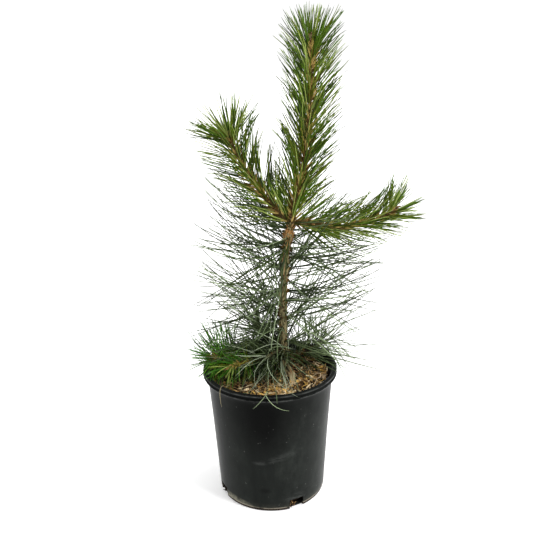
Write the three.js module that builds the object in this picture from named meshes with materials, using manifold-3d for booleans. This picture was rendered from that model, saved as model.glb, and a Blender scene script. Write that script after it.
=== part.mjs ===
// A young ponderosa pine in a round black nursery pot.
// Millimetres, +Z up. The origin is the centre of the pot's flat underside.
// -Y is the side that the pine is seen from, with +X to the right.
import * as THREE from "three";
import { mergeVertices } from "three/addons/utils/BufferGeometryUtils.js";
import Module from "manifold-3d";

const wasm = await Module();
wasm.setup();

// What touches in the real plant stands this far apart here, and a sunk piece a little further from its bed.
const GAP = 0.35;
const BED_GAP = 0.42;

// The pot: a plain straight-sided container with a rolled rim and four drain slots through its bottom edge.
const POT_HEIGHT = 226;
const RIM_RADIUS = 114;
const RIM_DEPTH = 11;
const RIM_WIDTH = 7;
const RIM_ROUNDING = 2.5;
const WALL_TOP_RADIUS = 104.4;
const WALL_FOOT_RADIUS = 92;
const WALL = 2;
const FLOOR = 2.5;
const FLARE_DEPTH = 12;
const FLARE_WIDTH = 2;
const FOOT_CHAMFER = 3;
const POT_SIDES = 40;
const SLOT_ANGLES = [26, 104, 206, 284];
const SLOT_WIDTH = 27;
const SLOT_HEIGHT = 14;
const SLOT_REACH = 11;

// The growing medium: bark and shredded wood, filled to a little under the rim, level round the trunk.
const FILL_LEVEL = 207;
const FILL_RELIEF = 2;
const FILL_RINGS = [90, 70, 48, 24, 0];
const LEVEL_RADIUS = [30, 55];

// Chips that lie half sunk in the fill. The first ones have places of their own; the rest are scattered.
const CHIP_COUNT = 12;
const CHIP_LENGTH = [16, 26];
const CHIP_WIDTH = [7, 11];
const CHIP_THICKNESS = 3;
const CHIP_TILT = [0.16, 0.1];
const CHIP_RISE = 0.45;
const CHIP_PLACES = [
  [18.5, -66],
  [91, -11],
];
const CHIP_SCATTER = [33, 80];
const CHIP_SPACING = 28;
const CLEAR_ROUND_TRUNK = 30;
const CLEAR_ROUND_SPLINTER = 22;
const SPLINTER_PLACE = new THREE.Vector3(36.5, -28.5, 219);
const SPLINTER_SIZE = new THREE.Vector3(11, 4, 34);
const SPLINTER_LEAN = 82;
const SPLINTER_TURN = 12;

// The trunk: its centreline from the flat cut on the fill, through the whorl, to the tip of the leader's
// bud.
const TRUNK_FOOT = new THREE.Vector3(24, 8, FILL_LEVEL + 0.3);
const TRUNK_LINE = [
  TRUNK_FOOT,
  new THREE.Vector3(24.5, 6, 340),
  new THREE.Vector3(32, 3, 436),
  new THREE.Vector3(45, 1, 500),
  new THREE.Vector3(60.5, 0, 574),
  new THREE.Vector3(69, 0, 660),
  new THREE.Vector3(71, 0, 756),
];
const TRUNK_RADIUS = { foot: 7.3, whorl: 5.9, leader: 4.7, tip: 2.5 };
const TRUNK_RINGS = 40;
const ROOT_FLARE = 4.2;
const ROOT_FLARE_HEIGHT = 12;
const COLLAR_HEIGHT = 452;
const COLLAR_SWELL = 1.7;
const COLLAR_REACH = 11;
const WHORL_HEIGHT = 474;
const BUD_LENGTH = 17;
const BUD_SWELL = 1.5;
const BUD_TIP_RADIUS = 0.5;
const LIMB_SIDES = 8;
const LIMB_RINGS = 4;
const PATH_STEPS = 10;

// The boughs. Each leaves the trunk at a height and turns through three headings, an azimuth and an
// elevation each: at the trunk, where the bare limb ends and the shoot with its needles begins, and at the
// shoot's tip.
const BOUGHS = [
  {
    name: "left_bough",
    mass: "left_bough_needles",
    from: 474,
    headings: [[169, 38], [169, 45], [169, 71]],
    limb: { length: 34, radius: [4.6, 4.2] },
    shoot: { length: 141, radius: [4.2, 2.6], rings: 8 },
    needles: "fanned",
    count: 112,
    seed: 11,
  },
  {
    name: "right_bough",
    mass: "right_bough_needles",
    from: 473,
    headings: [[-9, 2], [-9, -10], [-12, 38]],
    limb: { length: 43, radius: [4.6, 4.2] },
    shoot: { length: 131, radius: [4.2, 2.6], rings: 8 },
    needles: "swept",
    count: 106,
    seed: 12,
  },
  {
    name: "low_left_branch",
    mass: "low_left_tuft",
    from: 229,
    headings: [[170, 8], [180, 2], [202, 6]],
    limb: { length: 58, radius: [3, 2.4] },
    shoot: { length: 70, radius: [2.4, 1.9], rings: 5 },
    needles: "tuft",
    count: 100,
    seed: 13,
  },
  {
    name: "low_side_branch",
    mass: "low_side_tuft",
    from: 233,
    headings: [[198, 12], [206, 4], [220, -2]],
    limb: { length: 50, radius: [2.8, 2.4] },
    shoot: { length: 60, radius: [2.4, 1.9], rings: 4 },
    needles: "drooping",
    count: 50,
    seed: 17,
  },
  {
    name: "low_back_branch",
    mass: "low_back_tuft",
    from: 241,
    headings: [[150, 32], [150, 42], [154, 52]],
    limb: { length: 40, radius: [2.8, 2.4] },
    shoot: { length: 42, radius: [2.4, 1.9], rings: 4 },
    needles: "grey",
    count: 48,
    seed: 14,
  },
  {
    name: "low_right_branch",
    mass: "low_right_tuft",
    from: 233,
    headings: [[24, 6], [25, 10], [27, 18]],
    limb: { length: 42, radius: [2.8, 2.4] },
    shoot: { length: 44, radius: [2.4, 1.9], rings: 4 },
    needles: "grey",
    count: 52,
    seed: 15,
  },
  {
    name: "low_front_branch",
    mass: "low_front_tuft",
    from: 247,
    headings: [[240, 26], [240, 14], [236, 0]],
    limb: { length: 20, radius: [2.8, 2.4] },
    shoot: { length: 40, radius: [2.4, 1.9], rings: 4 },
    needles: "skirt",
    count: 70,
    seed: 16,
  },
];

// Masses of needles on sleeves round the trunk, from the lowest. Each runs from one ring of the trunk's mesh
// to another, so that its inner faces lie along the trunk's, and stops short of them by a part of a ring.
const SLEEVES = [
  { name: "trunk_needles_1", from: 4, to: 7, needles: "old", count: 26, seed: 21 },
  { name: "trunk_needles_2", from: 7, to: 10, needles: "old", count: 30, seed: 22 },
  { name: "trunk_needles_3", from: 10, to: 14, needles: "old", count: 36, seed: 23 },
  { name: "trunk_needles_4", from: 14, to: 17, needles: "rising", count: 42, seed: 24 },
  { name: "leader_needles_1", from: 21, to: 25, needles: "leader", count: 56, seed: 31 },
  { name: "leader_needles_2", from: 25, to: 29, needles: "leader", count: 54, seed: 32 },
  { name: "leader_needles_3", from: 29, to: 33, needles: "leader", count: 54, seed: 33 },
  { name: "leader_needles_4", from: 33, to: 38, needles: "leader", count: 70, seed: 34 },
];
const SLEEVE_END = 0.02;
const LEADER_START = 21 / TRUNK_RINGS;

// How each kind of needle stands: its length and half thickness, its tilt from the stem at the foot, the
// middle and the tip of the shoot, how far that strays, its lift towards the light, its droop, the number of
// straight lengths it has, the share of its length that it lacks at the tip, and the thickness of the core
// of crowded bases that it stands in.
const NEEDLES = {
  leader: {
    length: 82, half: 1.3, tilt: [44, 38, 30], stray: 8,
    lift: 0.03, droop: 0, spans: 1, short: 0, core: 4.2,
  },
  fanned: {
    length: 80, half: 1.3, tilt: [44, 36, 36], stray: 9,
    lift: 0.03, droop: 0, spans: 1, short: 0.2, core: 4.2,
  },
  swept: {
    length: 84, half: 1.3, tilt: [44, 30, 30], stray: 8,
    lift: 0.04, droop: 0, spans: 1, short: 0.32, core: 4,
  },
  tuft: {
    length: 66, half: 1.3, tilt: [80, 66, 44], stray: 16,
    lift: 0.16, droop: 0.06, spans: 1, short: 0.1, core: 2.6,
  },
  grey: {
    length: 78, half: 1.2, tilt: [80, 60, 40], stray: 18,
    lift: 0.16, droop: 0.1, spans: 1, short: 0.1, core: 2.2,
  },
  skirt: {
    length: 80, half: 1.2, tilt: [84, 70, 46], stray: 22,
    lift: -0.1, droop: 0.5, spans: 2, short: 0.1, core: 2,
  },
  drooping: {
    length: 52, half: 1.2, tilt: [76, 64, 44], stray: 22,
    lift: 0, droop: 0.5, spans: 2, short: 0, core: 1.6,
  },
  old: {
    length: 160, half: 1.3, tilt: [86, 80, 72], stray: 16,
    lift: 0.08, droop: 0.16, spans: 2, short: 0, core: 2.2,
  },
  rising: {
    length: 158, half: 1.3, tilt: [80, 72, 52], stray: 18,
    lift: 0.06, droop: 0.12, spans: 2, short: 0.05, core: 2.4,
  },
};
const NEEDLE_SIDES = 3;
const NEEDLE_TAPER = 0.82;
const NEEDLE_LENGTHS = [0.86, 1.04];
const ROOT_DEPTH = 0.5;
const ROOT_SHARE = 0.16;
const CORE_SHOULDER = 0.12;
const NEEDLE_CLEARANCE = 0.5;
const POT_CLEARANCE = 1;
const RIM_CLEARANCE = 4;
const POT_CHECK_STEP = 4;
const TRIES = 4;
const TURN_STRAY = 0.35;
const GOLDEN_ANGLE = THREE.MathUtils.degToRad(137.508);
const UP = new THREE.Vector3(0, 0, 1);
const SEED = 20473;

const COLOURS = {
  pot: { color: 0x26282a, roughness: 0.62, metalness: 0 },
  fill: { color: 0x6b4a2c, roughness: 0.95, metalness: 0 },
  chip: { color: 0xc39a5c, roughness: 0.85, metalness: 0 },
  bark: { color: 0x8a6238, roughness: 0.9, metalness: 0 },
  leader: { color: 0x4d7a34, roughness: 0.55, metalness: 0 },
  fanned: { color: 0x4d7a34, roughness: 0.55, metalness: 0 },
  swept: { color: 0x5a8238, roughness: 0.55, metalness: 0 },
  tuft: { color: 0x3f8a2c, roughness: 0.55, metalness: 0 },
  grey: { color: 0x5d7a5c, roughness: 0.6, metalness: 0 },
  skirt: { color: 0x6a8566, roughness: 0.6, metalness: 0 },
  drooping: { color: 0x6f8f3c, roughness: 0.6, metalness: 0 },
  old: { color: 0x587358, roughness: 0.6, metalness: 0 },
  rising: { color: 0x587358, roughness: 0.6, metalness: 0 },
};

// Numbers from 0 to 1 that are the same on every run.
function seeded(seed) {
  let state = (SEED + seed * 7919) >>> 0;
  return () => {
    state = (state + 0x6d2b79f5) >>> 0;
    let t = state;
    t = Math.imul(t ^ (t >>> 15), t | 1);
    t ^= t + Math.imul(t ^ (t >>> 7), t | 61);
    return ((t ^ (t >>> 14)) >>> 0) / 4294967296;
  };
}

const degrees = THREE.MathUtils.degToRad;
const mix = THREE.MathUtils.lerp;
const between = (random, [low, high]) => mix(low, high, random());
const either = (random, reach) => (random() * 2 - 1) * reach;
const midway = (a, b) => a.clone().add(b).multiplyScalar(0.5);

// A closed surface with only its positions, its shared vertices merged.
function closed(geometry) {
  geometry.deleteAttribute("normal");
  geometry.deleteAttribute("uv");
  return mergeVertices(geometry, 1e-3);
}

function solid(geometry) {
  return new wasm.Manifold(
    new wasm.Mesh({
      numProp: 3,
      vertProperties: new Float32Array(geometry.attributes.position.array),
      triVerts: new Uint32Array(geometry.index.array),
    }),
  );
}

function surface(made) {
  const mesh = made.getMesh();
  return new THREE.BufferGeometry()
    .setAttribute("position", new THREE.BufferAttribute(mesh.vertProperties, 3))
    .setIndex(new THREE.BufferAttribute(mesh.triVerts, 1));
}

// Joins solids in pairs, then the pairs, so that each join stays small.
function joined(solids) {
  let level = solids;
  while (level.length > 1) {
    const next = [];
    for (let i = 0; i < level.length; i += 2) {
      next.push(i + 1 < level.length ? level[i].add(level[i + 1]) : level[i]);
    }
    level = next;
  }
  return level[0];
}

function piece(name, geometry, look) {
  const made = new THREE.Mesh(geometry, new THREE.MeshStandardMaterial(COLOURS[look]));
  made.name = name;
  return made;
}

// The unit vector of a heading, which is an azimuth and an elevation.
function pointing([azimuth, elevation]) {
  const level = Math.cos(degrees(elevation));
  const turn = degrees(azimuth);
  return new THREE.Vector3(Math.cos(turn) * level, Math.sin(turn) * level, Math.sin(degrees(elevation)));
}

// A path that turns evenly from one heading to another.
function turning(start, first, last, length) {
  const points = [start];
  for (let i = 0; i < PATH_STEPS; i++) {
    const share = (i + 0.5) / PATH_STEPS;
    const heading = [mix(first[0], last[0], share), mix(first[1], last[1], share)];
    points.push(points[i].clone().addScaledVector(pointing(heading), length / PATH_STEPS));
  }
  const path = new THREE.CatmullRomCurve3(points);
  path.side = pointing([(first[0] + last[0]) / 2 + 90, 0]);
  return path;
}

// The direction along a path, and two directions across it.
function frameAt(path, share) {
  const tangent = path.getTangentAt(share);
  const across = path.side.clone().addScaledVector(tangent, -path.side.dot(tangent)).normalize();
  return { tangent, across, other: tangent.clone().cross(across) };
}

// Lays a shape that stands on Z from 0 to 1 along a stretch of a path. radiusAt gives each vertex its reach.
function laidAlong(geometry, path, from, to, radiusAt) {
  const place = geometry.attributes.position;
  for (let i = 0; i < place.count; i++) {
    const x = place.getX(i);
    const y = place.getY(i);
    const share = mix(from, to, THREE.MathUtils.clamp(place.getZ(i), 0, 1));
    const { across, other } = frameAt(path, share);
    const out = Math.hypot(x, y);
    const reach = out < 1e-6 ? 0 : radiusAt(out, share) / out;
    const point = path
      .getPointAt(share)
      .addScaledVector(across, x * reach)
      .addScaledVector(other, y * reach);
    place.setXYZ(i, point.x, point.y, point.z);
  }
  return closed(geometry);
}

// A tapering limb with flat ends.
function limb(path, rings, radius) {
  const straight = new THREE.CylinderGeometry(1, 1, 1, LIMB_SIDES, rings)
    .rotateX(Math.PI / 2)
    .translate(0, 0, 0.5);
  return laidAlong(straight, path, 0, 1, (out, share) => out * radius(share));
}

// An open sleeve round a limb: its inner face keeps clear of the limb, and its outer face is a thickness
// away from that.
function sleeve(path, rings, radius, thickness, from, to) {
  const profile = [];
  for (let i = 0; i <= rings; i++) profile.push(new THREE.Vector2(2, i / rings));
  for (let i = rings; i >= 0; i--) profile.push(new THREE.Vector2(1, i / rings));
  profile.push(profile[0].clone());
  const straight = new THREE.LatheGeometry(profile, LIMB_SIDES).rotateX(Math.PI / 2);
  const wall = (out, share) => radius(share) + GAP + (out - 1) * thickness;
  return laidAlong(straight, path, from, to, wall);
}

// The trunk's shape.
const trunkPath = new THREE.CatmullRomCurve3(TRUNK_LINE, false, "centripetal");
trunkPath.side = new THREE.Vector3(0, 1, 0);
const TRUNK_LENGTH = trunkPath.getLength();

// The share of the trunk's length at which its centreline reaches a height.
function trunkShareAt(height) {
  let [low, high] = [0, 1];
  for (let i = 0; i < 30; i++) {
    const middle = (low + high) / 2;
    if (trunkPath.getPointAt(middle).z < height) low = middle;
    else high = middle;
  }
  return (low + high) / 2;
}

const whorlShare = trunkShareAt(WHORL_HEIGHT);
const collarShare = trunkShareAt(COLLAR_HEIGHT);
const leaderBudShare = 1 - BUD_LENGTH / TRUNK_LENGTH;

// A swelling that dies away over a reach to each side of its middle.
const swell = (distance, size, reach) => size * Math.exp(-((distance / reach) ** 2));

// A bud swells from its stem, then closes to a blunt point.
function budRadius(stem, share) {
  return (stem + BUD_SWELL * Math.sin(Math.PI * share ** 0.8)) * (1 - share ** 3) + BUD_TIP_RADIUS * share;
}

function trunkRadius(share) {
  if (share >= leaderBudShare) {
    return budRadius(TRUNK_RADIUS.tip, (share - leaderBudShare) / (1 - leaderBudShare));
  }
  const flare = swell(share * TRUNK_LENGTH, ROOT_FLARE, ROOT_FLARE_HEIGHT);
  const collar = swell((share - collarShare) * TRUNK_LENGTH, COLLAR_SWELL, COLLAR_REACH);
  if (share < whorlShare) {
    return mix(TRUNK_RADIUS.foot, TRUNK_RADIUS.whorl, share / whorlShare) + flare + collar;
  }
  const along = (share - whorlShare) / (leaderBudShare - whorlShare);
  return mix(TRUNK_RADIUS.leader, TRUNK_RADIUS.tip, along) + collar;
}

// A shoot with the core of needle bases round it, which closes to the shoot itself at its foot and at its
// bud.
function shootRadius([first, last], length, thickness) {
  const budStart = 1 - BUD_LENGTH / length;
  return (share) => {
    if (share >= budStart) return budRadius(last, (share - budStart) / (1 - budStart));
    const along = share / budStart;
    const core = Math.min(1, along / CORE_SHOULDER, (1 - along) / CORE_SHOULDER);
    return mix(first, last, along) + thickness * core;
  };
}

// The least distance between two straight lengths, each given by its ends.
function distanceBetween(a, b, c, d) {
  const ab = b.clone().sub(a);
  const cd = d.clone().sub(c);
  const ca = a.clone().sub(c);
  const cross = ab.dot(cd);
  const [lengthAb, lengthCd] = [ab.lengthSq(), cd.lengthSq()];
  const [alongAb, alongCd] = [ab.dot(ca), cd.dot(ca)];
  const slant = lengthAb * lengthCd - cross * cross;
  const clamp = (value) => THREE.MathUtils.clamp(value, 0, 1);
  const nearest = slant > 1e-9 ? clamp((cross * alongCd - alongAb * lengthCd) / slant) : 0;
  const onCd = clamp((cross * nearest + alongCd) / lengthCd);
  const onAb = clamp((cross * onCd - alongAb) / lengthAb);
  return ca.addScaledVector(ab, onAb).addScaledVector(cd, -onCd).length();
}

// The straight lengths that already hold space, each with a radius and the name of the piece that it is in.
const held = [];

function lengthsOf(points, radius) {
  return points.slice(1).map((to, i) => {
    const from = points[i];
    return { from, to, radius, centre: midway(from, to), reach: from.distanceTo(to) / 2 + radius };
  });
}

function hold(owner, points, radius) {
  for (const length of lengthsOf(points, radius)) held.push({ owner, ...length });
}

function holdLimb(owner, path, radius, from = 0, to = 1, count = PATH_STEPS) {
  for (let i = 0; i < count; i++) {
    const [near, far] = [i, i + 1].map((step) => mix(from, to, step / count));
    hold(owner, [path.getPointAt(near), path.getPointAt(far)], Math.max(radius(near), radius(far)));
  }
}

// Whether a needle keeps clear of everything held by other pieces than the ones named.
function isFree(names, points, radius) {
  const others = held.filter((other) => !names.includes(other.owner));
  return lengthsOf(points, radius + NEEDLE_CLEARANCE).every((mine) =>
    others.every(
      (other) =>
        mine.centre.distanceTo(other.centre) > mine.reach + other.reach ||
        distanceBetween(mine.from, mine.to, other.from, other.to) > mine.radius + other.radius,
    ),
  );
}

// Whether a needle keeps clear of the pot and of what fills it, all along its length.
function isClearOfPot(points, radius) {
  const margin = radius + POT_CLEARANCE;
  const inside = RIM_RADIUS - RIM_WIDTH - RIM_CLEARANCE - radius;
  const above = FILL_LEVEL + FILL_RELIEF + CHIP_THICKNESS + margin;
  return points.slice(1).every((to, i) => {
    const steps = Math.ceil(points[i].distanceTo(to) / POT_CHECK_STEP);
    return Array.from({ length: steps }, (_, step) => {
      const { x, y, z } = points[i].clone().lerp(to, (step + 1) / steps);
      const out = Math.hypot(x, y);
      return z > POT_HEIGHT + margin || out > RIM_RADIUS + margin || (out < inside && z > above);
    }).every(Boolean);
  });
}

// The line of a needle that leaves its root in a direction and droops more the further it goes.
function needleLine(root, direction, length, droop, spans) {
  return Array.from({ length: spans + 1 }, (_, i) => {
    const share = i / spans;
    const sag = droop * length * share * share * 0.5;
    return root.clone().addScaledVector(direction, length * share).addScaledVector(UP, -sag);
  });
}

// A needle: a three-sided blade along its line, pointed at the tip, with a flat root to be sunk in the stem.
function needle({ points, half, turn }) {
  const spans = points.length - 1;
  const blade = new THREE.CylinderGeometry(0, 1, 1, NEEDLE_SIDES, spans)
    .rotateX(Math.PI / 2)
    .rotateZ(turn)
    .translate(0, 0, 0.5);
  const along = points[1].clone().sub(points[0]).normalize();
  const across = along.clone().cross(Math.abs(along.z) < 0.9 ? UP : new THREE.Vector3(1, 0, 0)).normalize();
  const other = along.clone().cross(across);
  const place = blade.attributes.position;
  for (let i = 0; i < place.count; i++) {
    const level = Math.round(place.getZ(i) * spans);
    const angle = Math.atan2(place.getY(i), place.getX(i));
    const onAxis = Math.hypot(place.getX(i), place.getY(i)) < 1e-6;
    const thick = onAxis ? 0 : half * mix(1, NEEDLE_TAPER, level / spans);
    const point = points[level]
      .clone()
      .addScaledVector(across, Math.cos(angle) * thick)
      .addScaledVector(other, Math.sin(angle) * thick);
    place.setXYZ(i, point.x, point.y, point.z);
  }
  return closed(blade);
}

// The lines of the needles of one mass. They wind up the stem by the golden angle, and lean forward more
// towards its tip. One that would touch another mass, a limb or the pot is turned a little, and is skipped
// if it still would.
function needlesOn({ name, stem, path, from, to, kind, count, seed, rootAt, tipward }) {
  const habit = NEEDLES[kind];
  const random = seeded(seed);
  const made = [];
  for (let i = 0; i < count; i++) {
    const share = mix(from, to, (i + 0.5) / count);
    const along = tipward(share);
    const [low, high] = along < 0.5 ? habit.tilt : habit.tilt.slice(1);
    for (let attempt = 0; attempt < TRIES; attempt++) {
      const turn = i * GOLDEN_ANGLE + either(random, TURN_STRAY);
      const tilt = degrees(mix(low, high, (along * 2) % 1) + either(random, habit.stray));
      const length = habit.length * (1 - habit.short * along ** 2) * between(random, NEEDLE_LENGTHS);
      const { tangent, across, other } = frameAt(path, share);
      const out = across.multiplyScalar(Math.cos(turn)).addScaledVector(other, Math.sin(turn));
      const direction = tangent.multiplyScalar(Math.cos(tilt)).addScaledVector(out, Math.sin(tilt));
      direction.addScaledVector(UP, habit.lift).normalize();
      const root = path.getPointAt(share).addScaledVector(out, rootAt(share));
      const points = needleLine(root, direction, length, habit.droop, habit.spans);
      const beyondRoot = [points[0].clone().lerp(points[1], ROOT_SHARE), ...points.slice(1)];
      const clear =
        isClearOfPot(points, habit.half) &&
        isFree([name, stem], points, habit.half) &&
        isFree([name], beyondRoot, habit.half);
      if (!clear) continue;
      made.push({ points, half: habit.half, turn: random() * Math.PI });
      break;
    }
  }
  return made;
}

// Fuses needles to their core, and holds the space that they take.
function needleMass(name, kind, core, needles) {
  for (const { points, half } of needles) hold(name, points, half);
  return piece(name, surface(joined([core, ...needles.map((each) => solid(needle(each)))])), kind);
}

// The pot, turned from its profile, with its drain slots cut out.
const wallTop = POT_HEIGHT - RIM_DEPTH - FLARE_DEPTH;
const wallRadius = (z) => mix(WALL_FOOT_RADIUS, WALL_TOP_RADIUS, z / wallTop);

function lathe(profile) {
  const outline = profile.map(([r, z]) => new THREE.Vector2(r, z));
  return new THREE.LatheGeometry(outline, POT_SIDES).rotateX(Math.PI / 2);
}

function potShell() {
  const rimFoot = POT_HEIGHT - RIM_DEPTH;
  const rimInside = RIM_RADIUS - RIM_WIDTH;
  return lathe([
    [0, 0],
    [WALL_FOOT_RADIUS - FOOT_CHAMFER, 0],
    [WALL_FOOT_RADIUS, FOOT_CHAMFER],
    [WALL_TOP_RADIUS, wallTop],
    [WALL_TOP_RADIUS + FLARE_WIDTH, rimFoot - FLARE_DEPTH / 4],
    [RIM_RADIUS - RIM_ROUNDING, rimFoot],
    [RIM_RADIUS, rimFoot + RIM_ROUNDING / 2],
    [RIM_RADIUS, POT_HEIGHT - RIM_ROUNDING],
    [RIM_RADIUS - RIM_ROUNDING, POT_HEIGHT],
    [rimInside + RIM_ROUNDING / 2, POT_HEIGHT],
    [rimInside, POT_HEIGHT - RIM_ROUNDING / 2],
    [WALL_TOP_RADIUS + FLARE_WIDTH - WALL, rimFoot - FLARE_DEPTH / 6],
    [WALL_TOP_RADIUS - WALL, wallTop],
    [wallRadius(FLOOR) - WALL, FLOOR],
    [0, FLOOR],
  ]);
}

function drainSlot(angle) {
  const cutter = new THREE.BoxGeometry(SLOT_WIDTH, SLOT_REACH * 2, SLOT_HEIGHT * 2);
  return solid(closed(cutter.translate(0, -WALL_FOOT_RADIUS, 0).rotateZ(degrees(angle))));
}

function pot() {
  const shell = solid(closed(potShell()));
  const cut = SLOT_ANGLES.reduce((left, angle) => left.subtract(drainSlot(angle)), shell);
  return piece("pot", surface(cut), "pot");
}

// The lie of the fill: low ripples, which die out round the trunk.
function fillHeight(x, y) {
  const fromTrunk = Math.hypot(x - TRUNK_FOOT.x, y - TRUNK_FOOT.y);
  const share = THREE.MathUtils.smoothstep(fromTrunk, ...LEVEL_RADIUS);
  const ripple = Math.sin(x / 17 + 1) * Math.cos(y / 13) + 0.5 * Math.sin(x / 7 + y / 9);
  return FILL_LEVEL + share * FILL_RELIEF * ripple;
}

function growingMedium(beds) {
  const edge = wallRadius(FILL_LEVEL) - WALL - GAP;
  const body = lathe([
    [0, FLOOR + GAP],
    [wallRadius(FLOOR) - WALL - GAP, FLOOR + GAP],
    [edge, FILL_LEVEL],
    ...FILL_RINGS.map((radius) => [radius, FILL_LEVEL]),
  ]);
  const place = body.attributes.position;
  for (let i = 0; i < place.count; i++) {
    const [x, y] = [place.getX(i), place.getY(i)];
    const onTop = place.getZ(i) > FILL_LEVEL - 1 && Math.hypot(x, y) < edge - 1;
    if (onTop) place.setZ(i, fillHeight(x, y));
  }
  const cut = beds.reduce((left, bed) => left.subtract(bed), solid(closed(body)));
  return piece("growing_medium", surface(cut), "fill");
}

// An outline given in shares of a width and a height, pushed out to a thickness about its own middle.
function slab(corners, width, height, thickness) {
  const outline = new THREE.Shape(corners.map(([x, y]) => new THREE.Vector2(x * width, y * height)));
  const pushed = new THREE.ExtrudeGeometry(outline, { depth: thickness, bevelEnabled: false, steps: 1 });
  return closed(pushed.translate(0, 0, -thickness / 2));
}

// The bed that a piece lies in: the piece grown by the bed's gap on every side.
function bedOf(sunk) {
  const grown = sunk.geometry.clone();
  grown.computeBoundingBox();
  const size = grown.boundingBox.getSize(new THREE.Vector3());
  grown.scale(...size.toArray().map((side) => (side + 2 * BED_GAP) / side));
  sunk.updateMatrix();
  return solid(closed(grown.applyMatrix4(sunk.matrix)));
}

function barkChip(number, random, x, y) {
  const corners = [
    [-0.5, -0.3],
    [0.05, -0.5],
    [0.5, either(random, 0.2)],
    [0.38, 0.42],
    [-0.34, 0.5],
  ];
  const shape = slab(corners, between(random, CHIP_LENGTH), between(random, CHIP_WIDTH), CHIP_THICKNESS);
  const chip = piece(`bark_chip_${String(number).padStart(2, "0")}`, shape, "chip");
  chip.position.set(x, y, fillHeight(x, y) + CHIP_RISE);
  chip.rotation.set(...CHIP_TILT.map((tilt) => either(random, tilt)), random() * Math.PI * 2);
  return chip;
}

function barkChips() {
  const random = seeded(5);
  const chips = [];
  while (chips.length < CHIP_COUNT) {
    const out = between(random, CHIP_SCATTER);
    const angle = random() * Math.PI * 2;
    const [x, y] = CHIP_PLACES[chips.length] ?? [out * Math.cos(angle), out * Math.sin(angle)];
    const room =
      Math.hypot(x - TRUNK_FOOT.x, y - TRUNK_FOOT.y) > CLEAR_ROUND_TRUNK &&
      Math.hypot(x - SPLINTER_PLACE.x, y - SPLINTER_PLACE.y) > CLEAR_ROUND_SPLINTER &&
      chips.every(({ position }) => Math.hypot(x - position.x, y - position.y) > CHIP_SPACING);
    if (room) chips.push(barkChip(chips.length + 1, random, x, y));
  }
  return chips;
}

// The splinter that stands on end in front of the trunk, with a split, broken top.
function splinter() {
  const corners = [
    [-0.34, -0.5],
    [0.3, -0.5],
    [0.46, 0.22],
    [0.2, 0.14],
    [0.02, 0.5],
    [-0.16, 0.2],
    [-0.5, 0.16],
  ];
  const { x: width, y: thickness, z: height } = SPLINTER_SIZE;
  const made = piece("wood_splinter", slab(corners, width, height, thickness), "chip");
  made.position.copy(SPLINTER_PLACE);
  made.rotation.set(degrees(SPLINTER_LEAN), 0, degrees(SPLINTER_TURN));
  return made;
}

// A bough's two paths: the bare limb's, and that of the shoot, which begins clear of the limb's tip.
function growBough(bough) {
  const [atTrunk, atTip, atBud] = bough.headings;
  const start = trunkPath.getPointAt(trunkShareAt(bough.from));
  const limbPath = turning(start, atTrunk, atTip, bough.limb.length);
  const tip = limbPath.getPointAt(1).addScaledVector(pointing(atTip), GAP);
  const shootPath = turning(tip, atTip, atBud, bough.shoot.length);
  const limbThick = (share) => mix(...bough.limb.radius, share);
  const shootThick = shootRadius(bough.shoot.radius, bough.shoot.length, NEEDLES[bough.needles].core);
  return { ...bough, limbPath, limbThick, shootPath, shootThick };
}

function growSleeve(tier) {
  const [from, to] = [tier.from + SLEEVE_END, tier.to - SLEEVE_END].map((ring) => ring / TRUNK_RINGS);
  const { core } = NEEDLES[tier.needles];
  const thick = (share) => trunkRadius(share) + GAP + core;
  return { ...tier, from, to, rings: tier.to - tier.from, core, thick };
}

function sleeveMass(tier) {
  const onLeader = tier.from > LEADER_START;
  const needles = needlesOn({
    ...tier,
    kind: tier.needles,
    stem: "trunk",
    path: trunkPath,
    rootAt: (share) => tier.thick(share) - tier.core * ROOT_DEPTH,
    tipward: (share) => (onLeader ? (share - LEADER_START) / (1 - LEADER_START) : share / LEADER_START),
  });
  const core = solid(sleeve(trunkPath, tier.rings, trunkRadius, tier.core, tier.from, tier.to));
  return needleMass(tier.name, tier.needles, core, needles);
}

function boughLimb(bough) {
  const bare = solid(limb(bough.limbPath, LIMB_RINGS, bough.limbThick));
  return piece(bough.name, surface(bare.subtract(trunkGrown)), "bark");
}

function boughMass(bough) {
  const needles = needlesOn({
    ...bough,
    name: bough.mass,
    kind: bough.needles,
    stem: bough.mass,
    path: bough.shootPath,
    from: 0.03,
    to: 1 - (BUD_LENGTH * 0.7) / bough.shoot.length,
    rootAt: (share) => bough.shootThick(share) * ROOT_DEPTH,
    tipward: (share) => share,
  });
  const core = solid(limb(bough.shootPath, bough.shoot.rings, bough.shootThick));
  return needleMass(bough.mass, bough.needles, core, needles);
}

const trunkGrown = solid(limb(trunkPath, TRUNK_RINGS, (share) => trunkRadius(share) + GAP));
const boughs = BOUGHS.map(growBough);
const sleeves = SLEEVES.map(growSleeve);
const upright = splinter();
const sunk = [...barkChips(), upright];

// The limbs, stems and splinter hold their space before any needle grows.
const uprightFoot = SPLINTER_PLACE.clone().setZ(FILL_LEVEL);
hold(upright.name, [uprightFoot, SPLINTER_PLACE], SPLINTER_SIZE.z / 2);
holdLimb("trunk", trunkPath, trunkRadius, 0, 1, TRUNK_RINGS);
for (const bough of boughs) {
  holdLimb(bough.name, bough.limbPath, bough.limbThick);
  holdLimb(bough.mass, bough.shootPath, bough.shootThick);
}
for (const tier of sleeves) holdLimb(tier.name, trunkPath, tier.thick, tier.from, tier.to, tier.rings);

const container = new THREE.Group();
container.add(pot(), growingMedium(sunk.map(bedOf)), ...sunk);

const tree = new THREE.Group();
tree.add(piece("trunk", limb(trunkPath, TRUNK_RINGS, trunkRadius), "bark"));
tree.add(...sleeves.map(sleeveMass));
tree.add(...boughs.map(boughLimb));
tree.add(...boughs.map(boughMass));

const plant = new THREE.Group();
plant.add(container, tree);

export default plant;
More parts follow.
